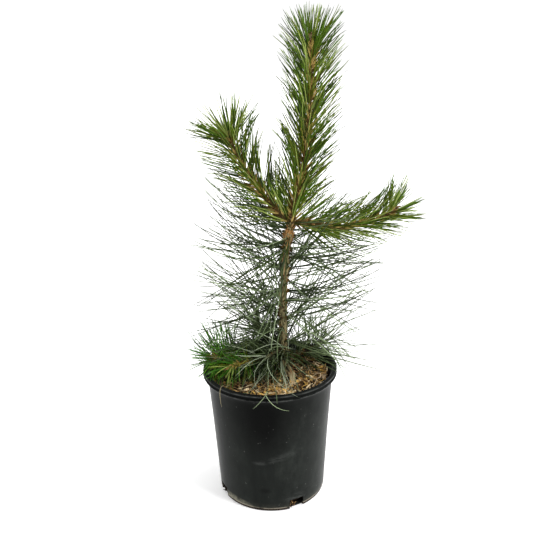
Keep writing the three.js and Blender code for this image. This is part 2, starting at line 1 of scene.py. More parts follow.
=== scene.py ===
"""A young ponderosa pine in a black nursery pot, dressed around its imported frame.

Metres, +Z up, with the origin at the centre of the pot's flat underside and -Y towards the viewer.
"""

import math
from typing import NamedTuple

import bpy
import numpy as np
from mathutils import Matrix, Vector, noise


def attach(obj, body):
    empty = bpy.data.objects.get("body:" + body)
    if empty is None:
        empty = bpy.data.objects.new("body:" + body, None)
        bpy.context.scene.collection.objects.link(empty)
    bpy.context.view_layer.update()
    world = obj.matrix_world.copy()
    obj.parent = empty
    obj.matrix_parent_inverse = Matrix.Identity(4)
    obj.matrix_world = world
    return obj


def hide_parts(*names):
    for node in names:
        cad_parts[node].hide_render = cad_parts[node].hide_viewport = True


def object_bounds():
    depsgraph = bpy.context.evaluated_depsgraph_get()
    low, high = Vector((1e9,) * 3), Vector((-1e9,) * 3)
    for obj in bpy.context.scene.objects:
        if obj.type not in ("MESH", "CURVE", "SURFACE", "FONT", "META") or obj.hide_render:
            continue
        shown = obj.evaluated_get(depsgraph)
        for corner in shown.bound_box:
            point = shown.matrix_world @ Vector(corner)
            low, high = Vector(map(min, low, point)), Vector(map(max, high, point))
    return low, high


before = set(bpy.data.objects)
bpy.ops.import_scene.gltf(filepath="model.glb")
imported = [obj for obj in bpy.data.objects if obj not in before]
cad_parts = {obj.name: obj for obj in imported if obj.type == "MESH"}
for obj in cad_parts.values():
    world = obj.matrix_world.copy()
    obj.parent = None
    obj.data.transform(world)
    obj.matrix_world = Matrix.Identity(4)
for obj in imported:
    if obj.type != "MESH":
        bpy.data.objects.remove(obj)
cad_box = [list(corner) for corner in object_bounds()]

bl_info = {
    "name": "Potted Ponderosa Pine",
    "version": (1, 0, 0),
    "blender": (4, 5, 0),
    "location": "3D View > Sidebar > Pine",
    "description": "Dresses a young potted pine with bark, needles, mulch and a moulded pot",
    "category": "Object",
}

# The trunk's line, from the flat cut on the fill to the tip of the leader's bud.
TRUNK_POINTS = (
    (0.024, 0.008, 0.2073),
    (0.0245, 0.006, 0.340),
    (0.032, 0.003, 0.436),
    (0.045, 0.001, 0.500),
    (0.0605, 0.0, 0.574),
    (0.069, 0.0, 0.660),
    (0.071, 0.0, 0.756),
)
TRUNK_RADIUS = {"foot": 0.0073, "whorl": 0.0059, "leader": 0.0047, "tip": 0.0025}
# How far the trunk swells at its foot, and how fast that dies out.
ROOT_FLARE = (0.0042, 0.012)
# The height of the collar, how far it swells, and how far that reaches along the trunk.
COLLAR = (0.452, 0.0017, 0.011)
WHORL_HEIGHT = 0.474
BUD_LENGTH = 0.017
BUD_SWELL = 0.0015
BUD_TIP = 0.0005
PATH_STEPS = 10
HEIGHT_SAMPLES = 4001
GOLDEN_ANGLE = math.radians(137.508)
FULL_TURN = 2 * math.pi
UP = np.array((0.0, 0.0, 1.0))


class Bough(NamedTuple):
    """A bare limb and the shoot that goes on from it, with its needles."""

    node: str
    mass: str  # the node of its needles
    height: float  # where it leaves the trunk
    headings: tuple  # azimuth and elevation at the trunk, at the limb's end and at the shoot's tip
    limb: tuple  # the length, and the radius at either end
    shoot: tuple  # the same
    habit: str
    fascicles: int
    seed: int


BOUGHS = (
    Bough("left_bough", "left_bough_needles", 0.474, ((169, 38), (169, 45), (169, 71)),
          (0.034, 0.0046, 0.0042), (0.141, 0.0042, 0.0026), "fanned", 136, 11),
    Bough("right_bough", "right_bough_needles", 0.473, ((-9, 2), (-9, -10), (-12, 38)),
          (0.043, 0.0046, 0.0042), (0.131, 0.0042, 0.0026), "swept", 104, 12),
    Bough("low_left_branch", "low_left_tuft", 0.229, ((170, 8), (180, 2), (202, 6)),
          (0.058, 0.003, 0.0024), (0.070, 0.0024, 0.0019), "tuft", 70, 13),
    Bough("low_side_branch", "low_side_tuft", 0.233, ((198, 12), (206, 4), (220, -2)),
          (0.050, 0.0028, 0.0024), (0.060, 0.0024, 0.0019), "drooping", 28, 17),
    Bough("low_back_branch", "low_back_tuft", 0.241, ((150, 32), (150, 42), (154, 52)),
          (0.040, 0.0028, 0.0024), (0.042, 0.0024, 0.0019), "grey", 46, 14),
    Bough("low_right_branch", "low_right_tuft", 0.233, ((24, 6), (25, 10), (27, 18)),
          (0.042, 0.0028, 0.0024), (0.044, 0.0024, 0.0019), "grey", 44, 15),
    Bough("low_front_branch", "low_front_tuft", 0.247, ((240, 26), (240, 14), (236, 0)),
          (0.020, 0.0028, 0.0024), (0.040, 0.0024, 0.0019), "skirt", 4, 16),
)
UPPER_BOUGHS = BOUGHS[:2]
LOW_BRANCHES = BOUGHS[2:]


class Stretch(NamedTuple):
    """A stretch of the trunk or of a bough, by share of its length, and the fascicles on it."""

    start: float
    end: float
    habit: str
    fascicles: int
    seed: int


# Where the leader begins, by share of the trunk, and where its lowest needles do.
LEADER_START = 0.497
LEADER_FOOT = 0.474
OLD_STRETCH = Stretch(0.10, 0.41, "old", 86, 21)
RISING_STRETCH = Stretch(0.40, 0.486, "rising", 36, 24)
LEADER_STRETCH = Stretch(LEADER_FOOT, 0.972, "leader", 226, 31)
TRUNK_SKIRT = Stretch(0.04, 0.14, "skirt", 5, 41)
# The needles of the upper boughs, by share of each bough.
BOUGH_REACH = (0.02, 0.955)
# How far out the needles of a low branch begin and end, by share of the branch.
TUFT_REACH = {"tuft": (0.62, 0.97), "drooping": (0.5, 0.97), "skirt": (0.05, 0.95), "grey": (0.3, 0.95)}
# The old needles on the bare stretches of the low branches: those that hang forward over the mulch, and the
# crowd under them, coloured dark as a painted shade.
HANGING = {
    "low_left_branch": Stretch(0.04, 0.50, "skirt", 13, 61),
    "low_side_branch": Stretch(0.04, 0.54, "skirt", 14, 62),
}
CROWDED = {
    "low_left_branch": Stretch(0.03, 0.50, "crowded", 52, 71),
    "low_side_branch": Stretch(0.03, 0.56, "crowded", 54, 72),
    "low_front_branch": Stretch(0.02, 0.85, "crowded", 16, 74),
    "low_right_branch": Stretch(0.05, 0.80, "crowded", 22, 73),
    "low_back_branch": Stretch(0.05, 0.80, "crowded", 22, 75),
}


class Habit(NamedTuple):
    """How one kind of needle stands on its shoot. Angles are in degrees."""

    length: float
    half: float  # half of the needle's width
    tilt: tuple  # the angle from the shoot, at each of TILT_PLACES
    stray: float = 8  # how far the tilt strays
    fan: float = 0.0  # how much further it strays at the shoot's tip
    lift: float = 0.0  # how far the needle leans upwards
    droop: float = 0.0  # how far it sags
    side: float = 0.0  # how much more it lifts on the left than on the right
    curl: float = 0.14  # how far it bends its own way
    hook: float = 0.1  # how much more it bends towards its end
    short: float = 0.1  # what it lacks in length at the shoot's tip
    splay: float = 2.2  # its angle from the fascicle's middle
    sheath: float = 0.006  # the length of the fascicle's sheath
    drift: float = 0.001  # how far the fascicle strays along the shoot
    towards: tuple = (0.0, 0.0, 0.0)  # where it is drawn
    aside: float = 0.0  # how far those that head for the front are turned to the sides and upwards
    ahead: int = 0  # one in so many of those isn't turned
    crown: tuple = (0.0, 0)  # the share that stands round the bud, and how far those lean out at most


TILT_PLACES = (0.0, 0.5, 0.85, 1.0)
HABITS = {
    "leader": Habit(0.082, 0.00082, (36, 38, 42, 34), stray=7, fan=0.6, lift=0.02, curl=0.16, splay=2.8,
                    sheath=0.017, aside=0.16, crown=(0.13, 48)),
    "fanned": Habit(0.087, 0.00084, (48, 42, 52, 52), fan=0.6, lift=0.04, short=0.12, splay=2.8,
                    sheath=0.016, crown=(0.26, 64)),
    "swept": Habit(0.084, 0.00080, (38, 28, 38, 42), stray=9, fan=0.6, lift=0.2, droop=-0.02, curl=0.18,
                   short=0.24, splay=3.0, sheath=0.012, crown=(0.18, 60)),
    "tuft": Habit(0.073, 0.00084, (84, 72, 58, 30), stray=20, fan=0.6, lift=0.12, curl=0.18, short=0.04,
                  splay=4, sheath=0.014, drift=0.002),
    "drooping": Habit(0.042, 0.00072, (76, 60, 44, 16), stray=20, lift=0.05, droop=0.35, curl=0.3,
                      hook=0.2, splay=7, sheath=0.007, drift=0.002),
    "grey": Habit(0.090, 0.00070, (84, 70, 54, 24), stray=28, lift=0.34, droop=0.1, curl=0.34, hook=0.2,
                  splay=8, drift=0.004, towards=(0.0, 0.22, 0.0)),
    "skirt": Habit(0.086, 0.00056, (80, 70, 62, 50), stray=60, droop=0.95, curl=0.55, hook=0.6, short=0.0,
                   splay=22, sheath=0.004, drift=0.016, towards=(-0.62, -0.6, 0.32)),
    "crowded": Habit(0.060, 0.00078, (78, 70, 60, 50), stray=36, lift=0.10, droop=0.4, curl=0.45, hook=0.4,
                     splay=12, sheath=0.004, drift=0.006, towards=(0.0, 0.32, 0.0)),
    "old": Habit(0.178, 0.00102, (60, 88, 96, 92), stray=44, droop=-0.30, side=0.10, curl=0.40, hook=0.08,
                 short=0.0, splay=5, drift=0.012, aside=0.42, ahead=3),
    "rising": Habit(0.156, 0.00094, (114, 106, 92, 80), stray=34, droop=-0.46, side=0.30, curl=0.38,
                    hook=0.08, short=0.05, splay=5, drift=0.010, towards=(-0.34, 0.0, 0.0), aside=0.5,
                    ahead=3),
}
# Widths along each kind of small body, by share of its length.
NEEDLE_PROFILE = (
    (0.0, 0.74), (0.12, 0.96), (0.3, 1.0), (0.5, 0.96), (0.68, 0.86), (0.84, 0.68), (0.95, 0.42), (1.0, 0.0)
)
SHEATH_PROFILE = ((0.0, 0.9), (0.35, 1.25), (0.8, 0.95), (1.0, 0.0))
BRACT_PROFILE = ((0.0, 0.5), (0.4, 1.0), (1.0, 0.0))
FLAKE_PROFILE = ((0.0, 0.5), (0.06, 0.95), (0.5, 1.0), (0.92, 0.75), (1.0, 0.0))
STRIP_PROFILE = ((0.0, 0.35), (0.2, 0.9), (0.6, 1.0), (0.9, 0.6), (1.0, 0.0))
# The sides of a needle, of a sheath, and of a bract, a flake or a strip.
NEEDLE_SIDES = 3
SHEATH_SIDES = 5
FLAKE_SIDES = 4
NEEDLES_IN_FASCICLE = 3
# How far a fascicle strays round its shoot, and how deep in the shoot it is rooted.
TURN_STRAY = 0.35
ROOTED = 0.8
# How a tilt's extra stray gathers at the shoot's tip, and the stretch of a shoot that its crown stands on.
FAN_POWER = 8
CROWN_DEPTH = 0.06
# How far a fascicle that is turned back from the front goes outwards and upwards instead.
ASIDE_OUT = 0.8
ASIDE_UP = 0.2
# How the length varies by fascicle, and the length, the width and the splay by needle.
LENGTH_SPREAD = (0.86, 1.04)
NEEDLE_SPREAD = (0.92, 1.03)
WIDTH_SPREAD = (0.88, 1.12)
SPLAY_SPREAD = (0.4, 1.6)
# The shares of the curl that a fascicle's needles have in common, and that each has for itself.
SHARED_CURL = 0.7
OWN_CURL = 0.4
# How often a needle has another shade than its fascicle's, which gives a fascicle painted light and dark
# edges.
OWN_SHADE = 0.6
# How far up its sheath a needle starts, and how far from the fascicle's middle, in halves of its width.
SHEATH_HOLD = 0.3
NEEDLE_APART = 0.9
# A needle rests no lower than this over the fill, and passes over the rim between these radii.
REST_HEIGHT = 0.2085
RIM_INSIDE = 0.1
RIM_OUTSIDE = 0.1155
RIM_TOP = 0.2275
# Where along a needle its way is tested, and in how many tries, and by how much, it is lifted or cut there.
TESTED_PLACES = np.linspace(0.12, 1, 14)
LIFTING = (40, 0.06)
CUTTING = (12, 0.85)
# How far a needle's tip may stand past the solids' box, how far short of that it may be cut, and in how many
# tries, and by how much, it is.
REACH_MARGIN = 0.004
REACH_SPREAD = 0.014
TRIMMING = (16, 0.96)
# Round bodies are rolled by up to this angle.
WIDEST_ROLL = 6
# How a sheath's length varies, its width over the needle's, and how far back it starts.
SHEATH_SPREAD = (0.8, 1.25)
SHEATH_WIDTH = 1.75
SHEATH_BACK = 0.0008
# The bract under a new fascicle: its size, how far back it starts, and how it leans and bows outwards.
BRACT_LENGTH = 0.0060
BRACT_SPREAD = (0.8, 1.2)
BRACT_HALF = 0.0012
BRACT_BACK = 0.0035
BRACT_LEAN = 0.25
BRACT_BOW = 0.5
BRACT_FLATNESS = 0.35
# The share of sheaths and of bracts that have the first of their two colours.
FIRST_SHEATHS = 0.65
FIRST_BRACTS = 0.5

# The kinds of needle colour that each habit deals out, with their weights at the shoot's foot and its tip.
PALETTES = {
    "leader": (("needle_deep", 6, 4), ("needle_olive", 4, 4), ("needle_leaf", 4, 5), ("needle_lime", 2, 2)),
    "fanned": (("needle_deep", 5, 3), ("needle_olive", 3, 3), ("needle_leaf", 4, 4), ("needle_lime", 2, 3)),
    "swept": (("needle_deep", 2, 3), ("needle_olive", 5, 3), ("needle_leaf", 4, 4), ("needle_lime", 4, 2)),
    "tuft": (("needle_deep", 2, 1), ("needle_fresh", 5, 5), ("needle_bright", 2, 4)),
    "grey": (("needle_shade", 3, 3), ("needle_grey", 4, 4), ("needle_blue", 2, 3)),
    "skirt": (("needle_shade", 2, 2), ("needle_grey", 3, 3), ("needle_blue", 4, 4), ("needle_pale", 3, 3)),
    "crowded": (("needle_dusk", 6, 5), ("needle_deep", 3, 3), ("needle_shade", 3, 3), ("needle_grey", 1, 2)),
    "drooping": (("needle_olive", 3, 2), ("needle_fresh", 3, 4), ("needle_lime", 2, 3)),
    "old": (("needle_shade", 6, 6), ("needle_grey", 4, 4), ("needle_blue", 2, 2)),
    "rising": (("needle_deep", 5, 5), ("needle_shade", 5, 5), ("needle_grey", 2, 2), ("needle_blue", 1, 1)),
}
NEEDLE_COLOURS = {
    # A dark green, partly the needles' own tone and partly painted shade.
    "needle_deep": (0.026, 0.050, 0.002),
    "needle_olive": (0.105, 0.138, 0.006),
    "needle_leaf": (0.082, 0.160, 0.010),
    # A pale yellow-green, partly the fresh needles' own tone and partly a painted highlight.
    "needle_lime": (0.290, 0.370, 0.085),
    # A nearly black green: painted shade for needles deep in the low tufts' shadow.
    "needle_dusk": (0.009, 0.015, 0.006),
    # A dark green, partly the old needles' own tone and partly painted shade.
    "needle_shade": (0.034, 0.050, 0.017),
    "needle_grey": (0.105, 0.145, 0.062),
    "needle_blue": (0.260, 0.330, 0.180),
    "needle_pale": (0.430, 0.500, 0.340),
    "needle_fresh": (0.048, 0.165, 0.010),
    "needle_bright": (0.120, 0.310, 0.022),
    "needle_faded": (0.260, 0.225, 0.130),
    "needle_straw": (0.420, 0.290, 0.130),
    "needle_rust": (0.230, 0.110, 0.040),
    "sheath_tan": (0.560, 0.390, 0.125),
    "sheath_brown": (0.140, 0.084, 0.022),
    "sheath_dark": (0.060, 0.040, 0.018),
}


def colour_property(name, description, default):
    return bpy.props.FloatVectorProperty(
        name=name, description=description, default=default, size=3, min=0.0, max=1.0, subtype="COLOR"
    )


def length_property(name, description, default):
    return bpy.props.FloatProperty(
        name=name, description=description, default=default, min=0.0, unit="LENGTH", precision=4
    )


class PotSettings(bpy.types.PropertyGroup):
    """Sizes and colours of the moulded pot."""

    height: length_property("Height", "From the underside to the top of the rim", 0.226)
    rim_radius: length_property("Rim radius", "Outside radius of the rolled rim", 0.114)
    rim_depth: length_property("Rim depth", "Height of the rolled rim", 0.011)
    rim_width: length_property("Rim width", "From the rim's outside to its inside", 0.007)
    shoulder_radius: length_property("Shoulder radius", "Outside radius of the wall below the rim", 0.1044)
    foot_radius: length_property("Foot radius", "Outside radius of the wall at the underside", 0.092)
    wall: length_property("Wall", "Thickness of the wall", 0.002)
    plastic: colour_property("Plastic", "Colour of the moulded plastic", (0.0080, 0.0094, 0.0084))
    haze: colour_property("Haze", "Colour of the plastic where it is hazy", (0.0250, 0.0285, 0.0252))
    dust: colour_property("Dust", "Colour of the dust near the foot", (0.25, 0.24, 0.18))


class MulchSettings(bpy.types.PropertyGroup):
    """Sizes and colours of what fills the pot."""

    level: length_property("Level", "Height of the fill above the underside", 0.207)
    relief: length_property("Relief", "Height of the fill's ripples", 0.002)
    shreds: bpy.props.IntProperty(
        name="Shreds", description="Number of loose shreds of bark and wood", default=2300, min=0, max=6000
    )
    soil: colour_property("Soil", "Colour of the damp fill between the shreds", (0.016, 0.009, 0.0045))
    gold: colour_property("Fresh wood", "Colour of the freshest shreds", (0.95, 0.58, 0.155))
    cream: colour_property("Pale wood", "Colour of the palest shreds", (0.98, 0.77, 0.46))
    tan: colour_property("Dry wood", "Colour of the dry shreds", (0.56, 0.34, 0.135))
    brown: colour_property("Bark", "Colour of the bark shreds", (0.14, 0.075, 0.032))
    grey: colour_property("Weathered wood", "Colour of the weathered shreds", (0.26, 0.195, 0.11))
    dark: colour_property("Damp bark", "Colour of the damp shreds", (0.035, 0.021, 0.011))


class BarkSettings(bpy.types.PropertyGroup):
    """Relief and colours of the bark."""

    relief: length_property("Relief", "Depth of the old bark's furrows", 0.0007)
    old: colour_property("Old bark", "Colour of the bark on the old trunk", (0.37, 0.315, 0.155))
    crack: colour_property("Crack", "Colour in the cracks of the old bark", (0.050, 0.038, 0.019))
    young: colour_property("Young bark", "Colour of the bark on the new shoots", (0.13, 0.092, 0.028))
    collar: colour_property("Collar", "Colour of the fresh bark at the whorl", (0.66, 0.350, 0.125))
    twig: colour_property("Twig", "Colour of the fresh low twigs", (0.34, 0.31, 0.045))


class StageSettings(bpy.types.PropertyGroup):
    """The floor, the light and the camera."""

    floor: colour_property("Floor", "Colour of the floor", (0.90, 0.90, 0.90))
    eye_height: length_property("Eye height", "Height of the camera", 0.71478)
    eye_distance: length_property("Eye distance", "Distance of the camera from the pot's axis", 1.01574)
    lens: bpy.props.FloatProperty(
        name="Lens", description="Focal length for a 36 mm wide frame", default=44.05, min=10.0, unit="CAMERA"
    )
    pitch: bpy.props.FloatProperty(
        name="Pitch",
        description="How far the camera looks down",
        default=math.radians(17.15),
        subtype="ANGLE",
    )
    roll: bpy.props.FloatProperty(
        name="Roll", description="How far the camera leans", default=math.radians(1.28), subtype="ANGLE"
    )


def unit(vectors):
    return vectors / np.linalg.norm(vectors, axis=-1, keepdims=True)


class Line:
    """A smooth line through points, read by share of its length, with a side to set sections against."""

    SPAN_STEPS = 24
    # How far apart two points lie that give the direction between them, by share of the length.
    AXIS_STEP = 0.004

    def __init__(self, points, side):
        points = np.array(points, float)
        padded = np.vstack((2 * points[0] - points[1], points, 2 * points[-1] - points[-2]))
        t = (np.arange(self.SPAN_STEPS) / self.SPAN_STEPS)[:, None]
        spans = []
        for before, start, end, after in zip(padded, padded[1:], padded[2:], padded[3:]):
            near, here, far = (
                np.sqrt(np.linalg.norm(b - a)) for a, b in ((before, start), (start, end), (end, after))
            )
            first = (start - before) / near - (end - before) / (near + here) + (end - start) / here
            last = (end - start) / here - (after - start) / (here + far) + (after - end) / far
            first, last = first * here, last * here
            spans.append(
                start
                + first * t
                + (3 * (end - start) - 2 * first - last) * t**2
                + (2 * (start - end) + first + last) * t**3
            )
        self.settle(np.vstack((*spans, points[-1:])), side)

    def settle(self, points, side):
        self.points = points
        steps = np.linalg.norm(np.diff(points, axis=0), axis=1)
        self.along = np.concatenate(((0,), np.cumsum(steps)))
        self.length = self.along[-1]
        self.side = unit(np.array(side, float))

    def going_on(self, other):
        """This line and the one that starts where it ends, as one."""
        whole = Line.__new__(Line)
        whole.settle(np.vstack((self.points, other.points[1:])), self.side)
        return whole

    def at(self, share):
        place = np.asarray(share, float) * self.length
        return np.stack([np.interp(place, self.along, self.points[:, i]) for i in range(3)], axis=-1)

    def axes(self, share):
        """The direction along the line, and two directions across it."""
        share = np.asarray(share, float)
        before = self.at(np.maximum(share - self.AXIS_STEP, 0))
        tangent = unit(self.at(np.minimum(share + self.AXIS_STEP, 1)) - before)
        across = unit(self.side - tangent * (tangent @ self.side)[..., None])
        return tangent, across, np.cross(tangent, across)

    def around(self, share, turn):
        """The direction along the line, and the one that stands out from it at a turn round it."""
        tangent, across, other = self.axes(share)
        return tangent, across * np.cos(turn)[:, None] + other * np.sin(turn)[:, None]


def pointing(heading):
    azimuth, elevation = (math.radians(angle) for angle in heading)
    level = math.cos(elevation)
    return np.array((math.cos(azimuth) * level, math.sin(azimuth) * level, math.sin(elevation)))


def turning(start, first, last, length):
    """A line that turns evenly from one heading to another."""
    points = [start]
    for step in range(PATH_STEPS):
        share = (step + 0.5) / PATH_STEPS
        heading = [a + (b - a) * share for a, b in zip(first, last)]
        points.append(points[-1] + pointing(heading) * length / PATH_STEPS)
    return Line(points, pointing(((first[0] + last[0]) / 2 + 90, 0)))


trunk_line = Line(TRUNK_POINTS, (0, 1, 0))


def trunk_share(height):
    shares = np.linspace(0, 1, HEIGHT_SAMPLES)
    return float(np.interp(height, trunk_line.at(shares)[:, 2], shares))


def bud_radius(stem, share):
    """The radius of a bud, which swells from its stem and closes to a blunt tip."""
    swell = stem + BUD_SWELL * np.sin(np.pi * share**0.8)
    return swell * (1 - share**3) + BUD_TIP * share


def trunk_radius(share):
    share = np.asarray(share, float)
    whorl = trunk_share(WHORL_HEIGHT)
    bud = 1 - BUD_LENGTH / trunk_line.length
    flare = ROOT_FLARE[0] * np.exp(-((share * trunk_line.length / ROOT_FLARE[1]) ** 2))
    from_collar = (share - trunk_share(COLLAR[0])) * trunk_line.length
    collar = COLLAR[1] * np.exp(-((from_collar / COLLAR[2]) ** 2))
    old = TRUNK_RADIUS["foot"] + (TRUNK_RADIUS["whorl"] - TRUNK_RADIUS["foot"]) * share / whorl
    along = (share - whorl) / (bud - whorl)
    new = TRUNK_RADIUS["leader"] + (TRUNK_RADIUS["tip"] - TRUNK_RADIUS["leader"]) * along
    tip = bud_radius(TRUNK_RADIUS["tip"], np.clip((share - bud) / (1 - bud), 0, 1))
    return np.where(share >= bud, tip, np.where(share < whorl, old, new) + flare + collar)


def grown(bough):
    """A bough's two lines: its bare limb's, and that of its shoot, which goes on from the limb."""
    at_trunk, at_end, at_tip = bough.headings
    start = trunk_line.at(trunk_share(bough.height))
    limb = turning(start, at_trunk, at_end, bough.limb[0])
    shoot = turning(limb.at(1.0), at_end, at_tip, bough.shoot[0])
    return limb, shoot


def tapering(first, last):
    """A radius that goes evenly from one measure to another, by share."""
    return lambda share: first + (last - first) * np.asarray(share, float)


def shoot_radius(bough):
    length, first, last = bough.shoot
    bud = 1 - BUD_LENGTH / length

    def radius(share):
        share = np.asarray(share, float)
        tip = bud_radius(last, np.clip((share - bud) / (1 - bud), 0, 1))
        return np.where(share >= bud, tip, first + (last - first) * share / bud)

    return radius


def deselect():
    bpy.ops.object.select_all(action="DESELECT")


def make_active(piece):
    deselect()
    piece.select_set(True)
    bpy.context.view_layer.objects.active = piece


def apply_modifiers(piece):
    make_active(piece)
    for modifier in list(piece.modifiers):
        bpy.ops.object.modifier_apply(modifier=modifier.name)


def finish(piece, name, materials, replaced=()):
    """Names a finished piece, gives it its materials, seats it on the plant's one body and hides the parts
    that it replaces.
    """
    piece.name = name
    piece.data.name = name
    piece.data.materials.clear()
    for material in materials:
        piece.data.materials.append(material)
    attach(piece, "root")
    if replaced:
        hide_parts(*replaced)
    deselect()


def own_axes(ways):
    """Two directions across each of some directions."""
    reference = np.where(np.abs(ways[:, 2:3]) < 0.9, (0.0, 0.0, 1.0), (1.0, 0.0, 0.0))
    across = unit(np.cross(ways, reference))
    return across, np.cross(ways, across)


def facing(ways, outs):
    """How far flat bodies are rolled to lie against what they stand on."""
    across, other = own_axes(ways)
    wide = unit(np.cross(ways, outs))
    return np.arctan2(np.sum(wide * other, axis=1), np.sum(wide * across, axis=1))


def tapered_bodies(roots, ways, bends, lengths, halves, profile, sides, rolls, flat=1.0, hooks=0.0):
    """The vertices and triangles of many tapering bodies, which bend evenly, and hook towards their ends."""
    roots, ways = np.asarray(roots, float), unit(np.asarray(ways, float))
    across, other = own_axes(ways)
    turn = np.asarray(rolls)[:, None]
    wide = (across * np.cos(turn) + other * np.sin(turn))[:, None]
    thin = (other * np.cos(turn) - across * np.sin(turn))[:, None]
    angles = (np.arange(sides) * FULL_TURN / sides)[None, :, None]
    around = np.cos(angles) * wide + flat * np.sin(angles) * thin
    reach = np.asarray(lengths)[:, None]
    rings = []
    for t, width in profile[:-1]:
        centre = roots + (ways * t + bends * t**2 / 2 + hooks * t**3 / 3) * reach
        rings.append(centre[:, None] + around * (halves * width)[:, None, None])
    tips = (roots + (ways + bends / 2 + hooks / 3) * reach)[:, None]
    vertices = np.concatenate((*rings, tips), axis=1)
    per_body = vertices.shape[1]
    faces = [(0, k + 1, k) for k in range(1, sides - 1)]
    for level in range(len(rings) - 1):
        for k in range(sides):
            a, b = level * sides + k, level * sides + (k + 1) % sides
            faces += [(a, b, b + sides), (a, b + sides, a + sides)]
    last = (len(rings) - 1) * sides
    faces += [(last + k, last + (k + 1) % sides, per_body - 1) for k in range(sides)]
    offsets = (np.arange(len(roots)) * per_body)[:, None, None]
    triangles = np.array(faces)[None] + offsets
    return vertices.reshape(-1, 3), triangles.reshape(-1, 3), len(faces)


def joined_piece(name, bodies, kinds, materials, replaced=()):
    """Joins many small bodies into one piece. kinds gives each body's place in the list of materials."""
    vertices, triangles, shades, base = [], [], [], 0
    for (points, faces, per_body), kind in zip(bodies, kinds):
        vertices.append(points)
        triangles.append(faces + base)
        shades.append(np.repeat(kind, per_body))
        base += len(points)
    vertices, triangles, shades = np.vstack(vertices), np.vstack(triangles), np.concatenate(shades)
    mesh = bpy.data.meshes.new(name)
    mesh.vertices.add(len(vertices))
    mesh.vertices.foreach_set("co", vertices.astype(np.float32).ravel())
    mesh.loops.add(triangles.size)
    mesh.loops.foreach_set("vertex_index", triangles.astype(np.int32).ravel())
    mesh.polygons.add(len(triangles))
    mesh.polygons.foreach_set("loop_start", np.arange(0, triangles.size, 3, dtype=np.int32))
    mesh.update(calc_edges=True)
    piece = bpy.data.objects.new(name, mesh)
    bpy.context.collection.objects.link(piece)
    finish(piece, name, materials, replaced)
    mesh.polygons.foreach_set("material_index", shades.astype(np.int32))
    mesh.update()


def plain_material(name, colour, roughness, specular):
    material = bpy.data.materials.get(name)
    if material:
        return material
    material = bpy.data.materials.new(name)
    material.use_nodes = True
    shader = material.node_tree.nodes["Principled BSDF"]
    shader.inputs["Base Color"].default_value = (*colour, 1)
    shader.inputs["Roughness"].default_value = roughness
    shader.inputs["Specular IOR Level"].default_value = specular
    return material


def dealt(palette, along, rng):
    """Deals a colour to each fascicle, by its place along the shoot."""
    weights = np.array([[low + (high - low) * a for _, low, high in palette] for a in along])
    chances = np.cumsum(weights / weights.sum(axis=1, keepdims=True), axis=1)
    return (rng.random(len(along))[:, None] > chances).sum(axis=1)


# Roughness and gloss of waxy needles, and of dry sheaths and bracts.
WAXY = (0.48, 0.14)
PAPERY = (0.75, 0.08)


def needle_materials(names):
    return [
        plain_material(name, NEEDLE_COLOURS[name], *(WAXY if name.startswith("needle") else PAPERY))
        for name in names
    ]


class Fascicles(NamedTuple):
    """Where the fascicles of a stretch stand, and what grows from them."""

    rng: np.random.Generator
    rule: Habit
    root: np.ndarray
    way: np.ndarray
    out: np.ndarray  # away from the shoot
    length: np.ndarray
    place: np.ndarray  # along the shoot, by share


def fascicles(line, radius, stretch, along):
    """The fascicles of a stretch, by the golden angle, leaning forward towards the shoot's tip."""
    count = stretch.fascicles
    rng = np.random.default_rng(stretch.seed)
    rule = HABITS[stretch.habit]
    order = (np.arange(count) + 0.5) / count
    crown, widest = rule.crown
    crowning = order > 1 - crown
    if crown:
        order = np.interp(order, (0, 1 - crown, 1), (0, 1 - CROWN_DEPTH, 1))
    share = stretch.start + (stretch.end - stretch.start) * order
    share = np.clip(share + rng.normal(0, rule.drift, count) / line.length, stretch.start, stretch.end)
    place = np.clip(along(share), 0, 1)
    turn = np.arange(count) * GOLDEN_ANGLE + rng.uniform(-TURN_STRAY, TURN_STRAY, count)
    stray = rule.stray * (1 + rule.fan * place**FAN_POWER)
    tilt = np.interp(place, TILT_PLACES, rule.tilt) + rng.uniform(-1, 1, count) * stray
    tilt = np.where(crowning, widest * np.sqrt(rng.random(count)), tilt)
    tilt = np.radians(tilt)[:, None]
    tangent, out = line.around(share, turn)
    way = tangent * np.cos(tilt) + out * np.sin(tilt) + UP * rule.lift + np.array(rule.towards)
    ahead = rule.ahead and np.arange(count) % rule.ahead == 0
    back = np.where(ahead, 0, -np.minimum(way[:, 1], 0) * rule.aside)
    way = unit(way + np.stack((back * np.sign(way[:, 0]) * ASIDE_OUT, back, back * ASIDE_UP), axis=-1))
    root = line.at(share) + out * (radius(share) * ROOTED)[:, None]
    length = rule.length * (1 - rule.short * place**2) * rng.uniform(*LENGTH_SPREAD, count)
    return Fascicles(rng, rule, root, way, out, length, place)


def crossing(root, way, bend, hook, length):
    """Tells which needles run through the fill or the pot's wall."""
    steps = TESTED_PLACES[:, None, None]
    points = root + (way * steps + bend * steps**2 / 2 + hook * steps**3 / 3) * length[:, None]
    out = np.hypot(points[..., 0], points[..., 1])
    height = points[..., 2]
    sunk = (height < REST_HEIGHT) & (out < RIM_INSIDE)
    through = (height < RIM_TOP) & (out > RIM_INSIDE) & (out < RIM_OUTSIDE)
    return (sunk | through).any(axis=0)


def kept_clear(root, way, bend, hook, length):
    """Lifts the needles that would run through the fill or the wall until they lie on it, or cuts them."""
    bend = bend.copy()
    tries, step = LIFTING
    for _ in range(tries):
        bend[crossing(root, way, bend, hook, length)] += UP * step
    tries, step = CUTTING
    for _ in range(tries):
        length = np.where(crossing(root, way, bend, hook, length), length * step, length)
    return bend, length


def within_reach(root, way, bend, hook, length, slack):
    """Shortens the needles that would stand out past the solids' own reach, each to its own measure."""
    low, high = (np.array(corner) for corner in cad_box)
    low, high = low - REACH_MARGIN + slack[:, None], high + REACH_MARGIN - slack[:, None]
    tries, step = TRIMMING
    for _ in range(tries):
        tip = root + (way + bend / 2 + hook / 3) * length[:, None]
        past = ((tip < low) | (tip > high)).any(axis=1)
        length = np.where(past, length * step, length)
    return length


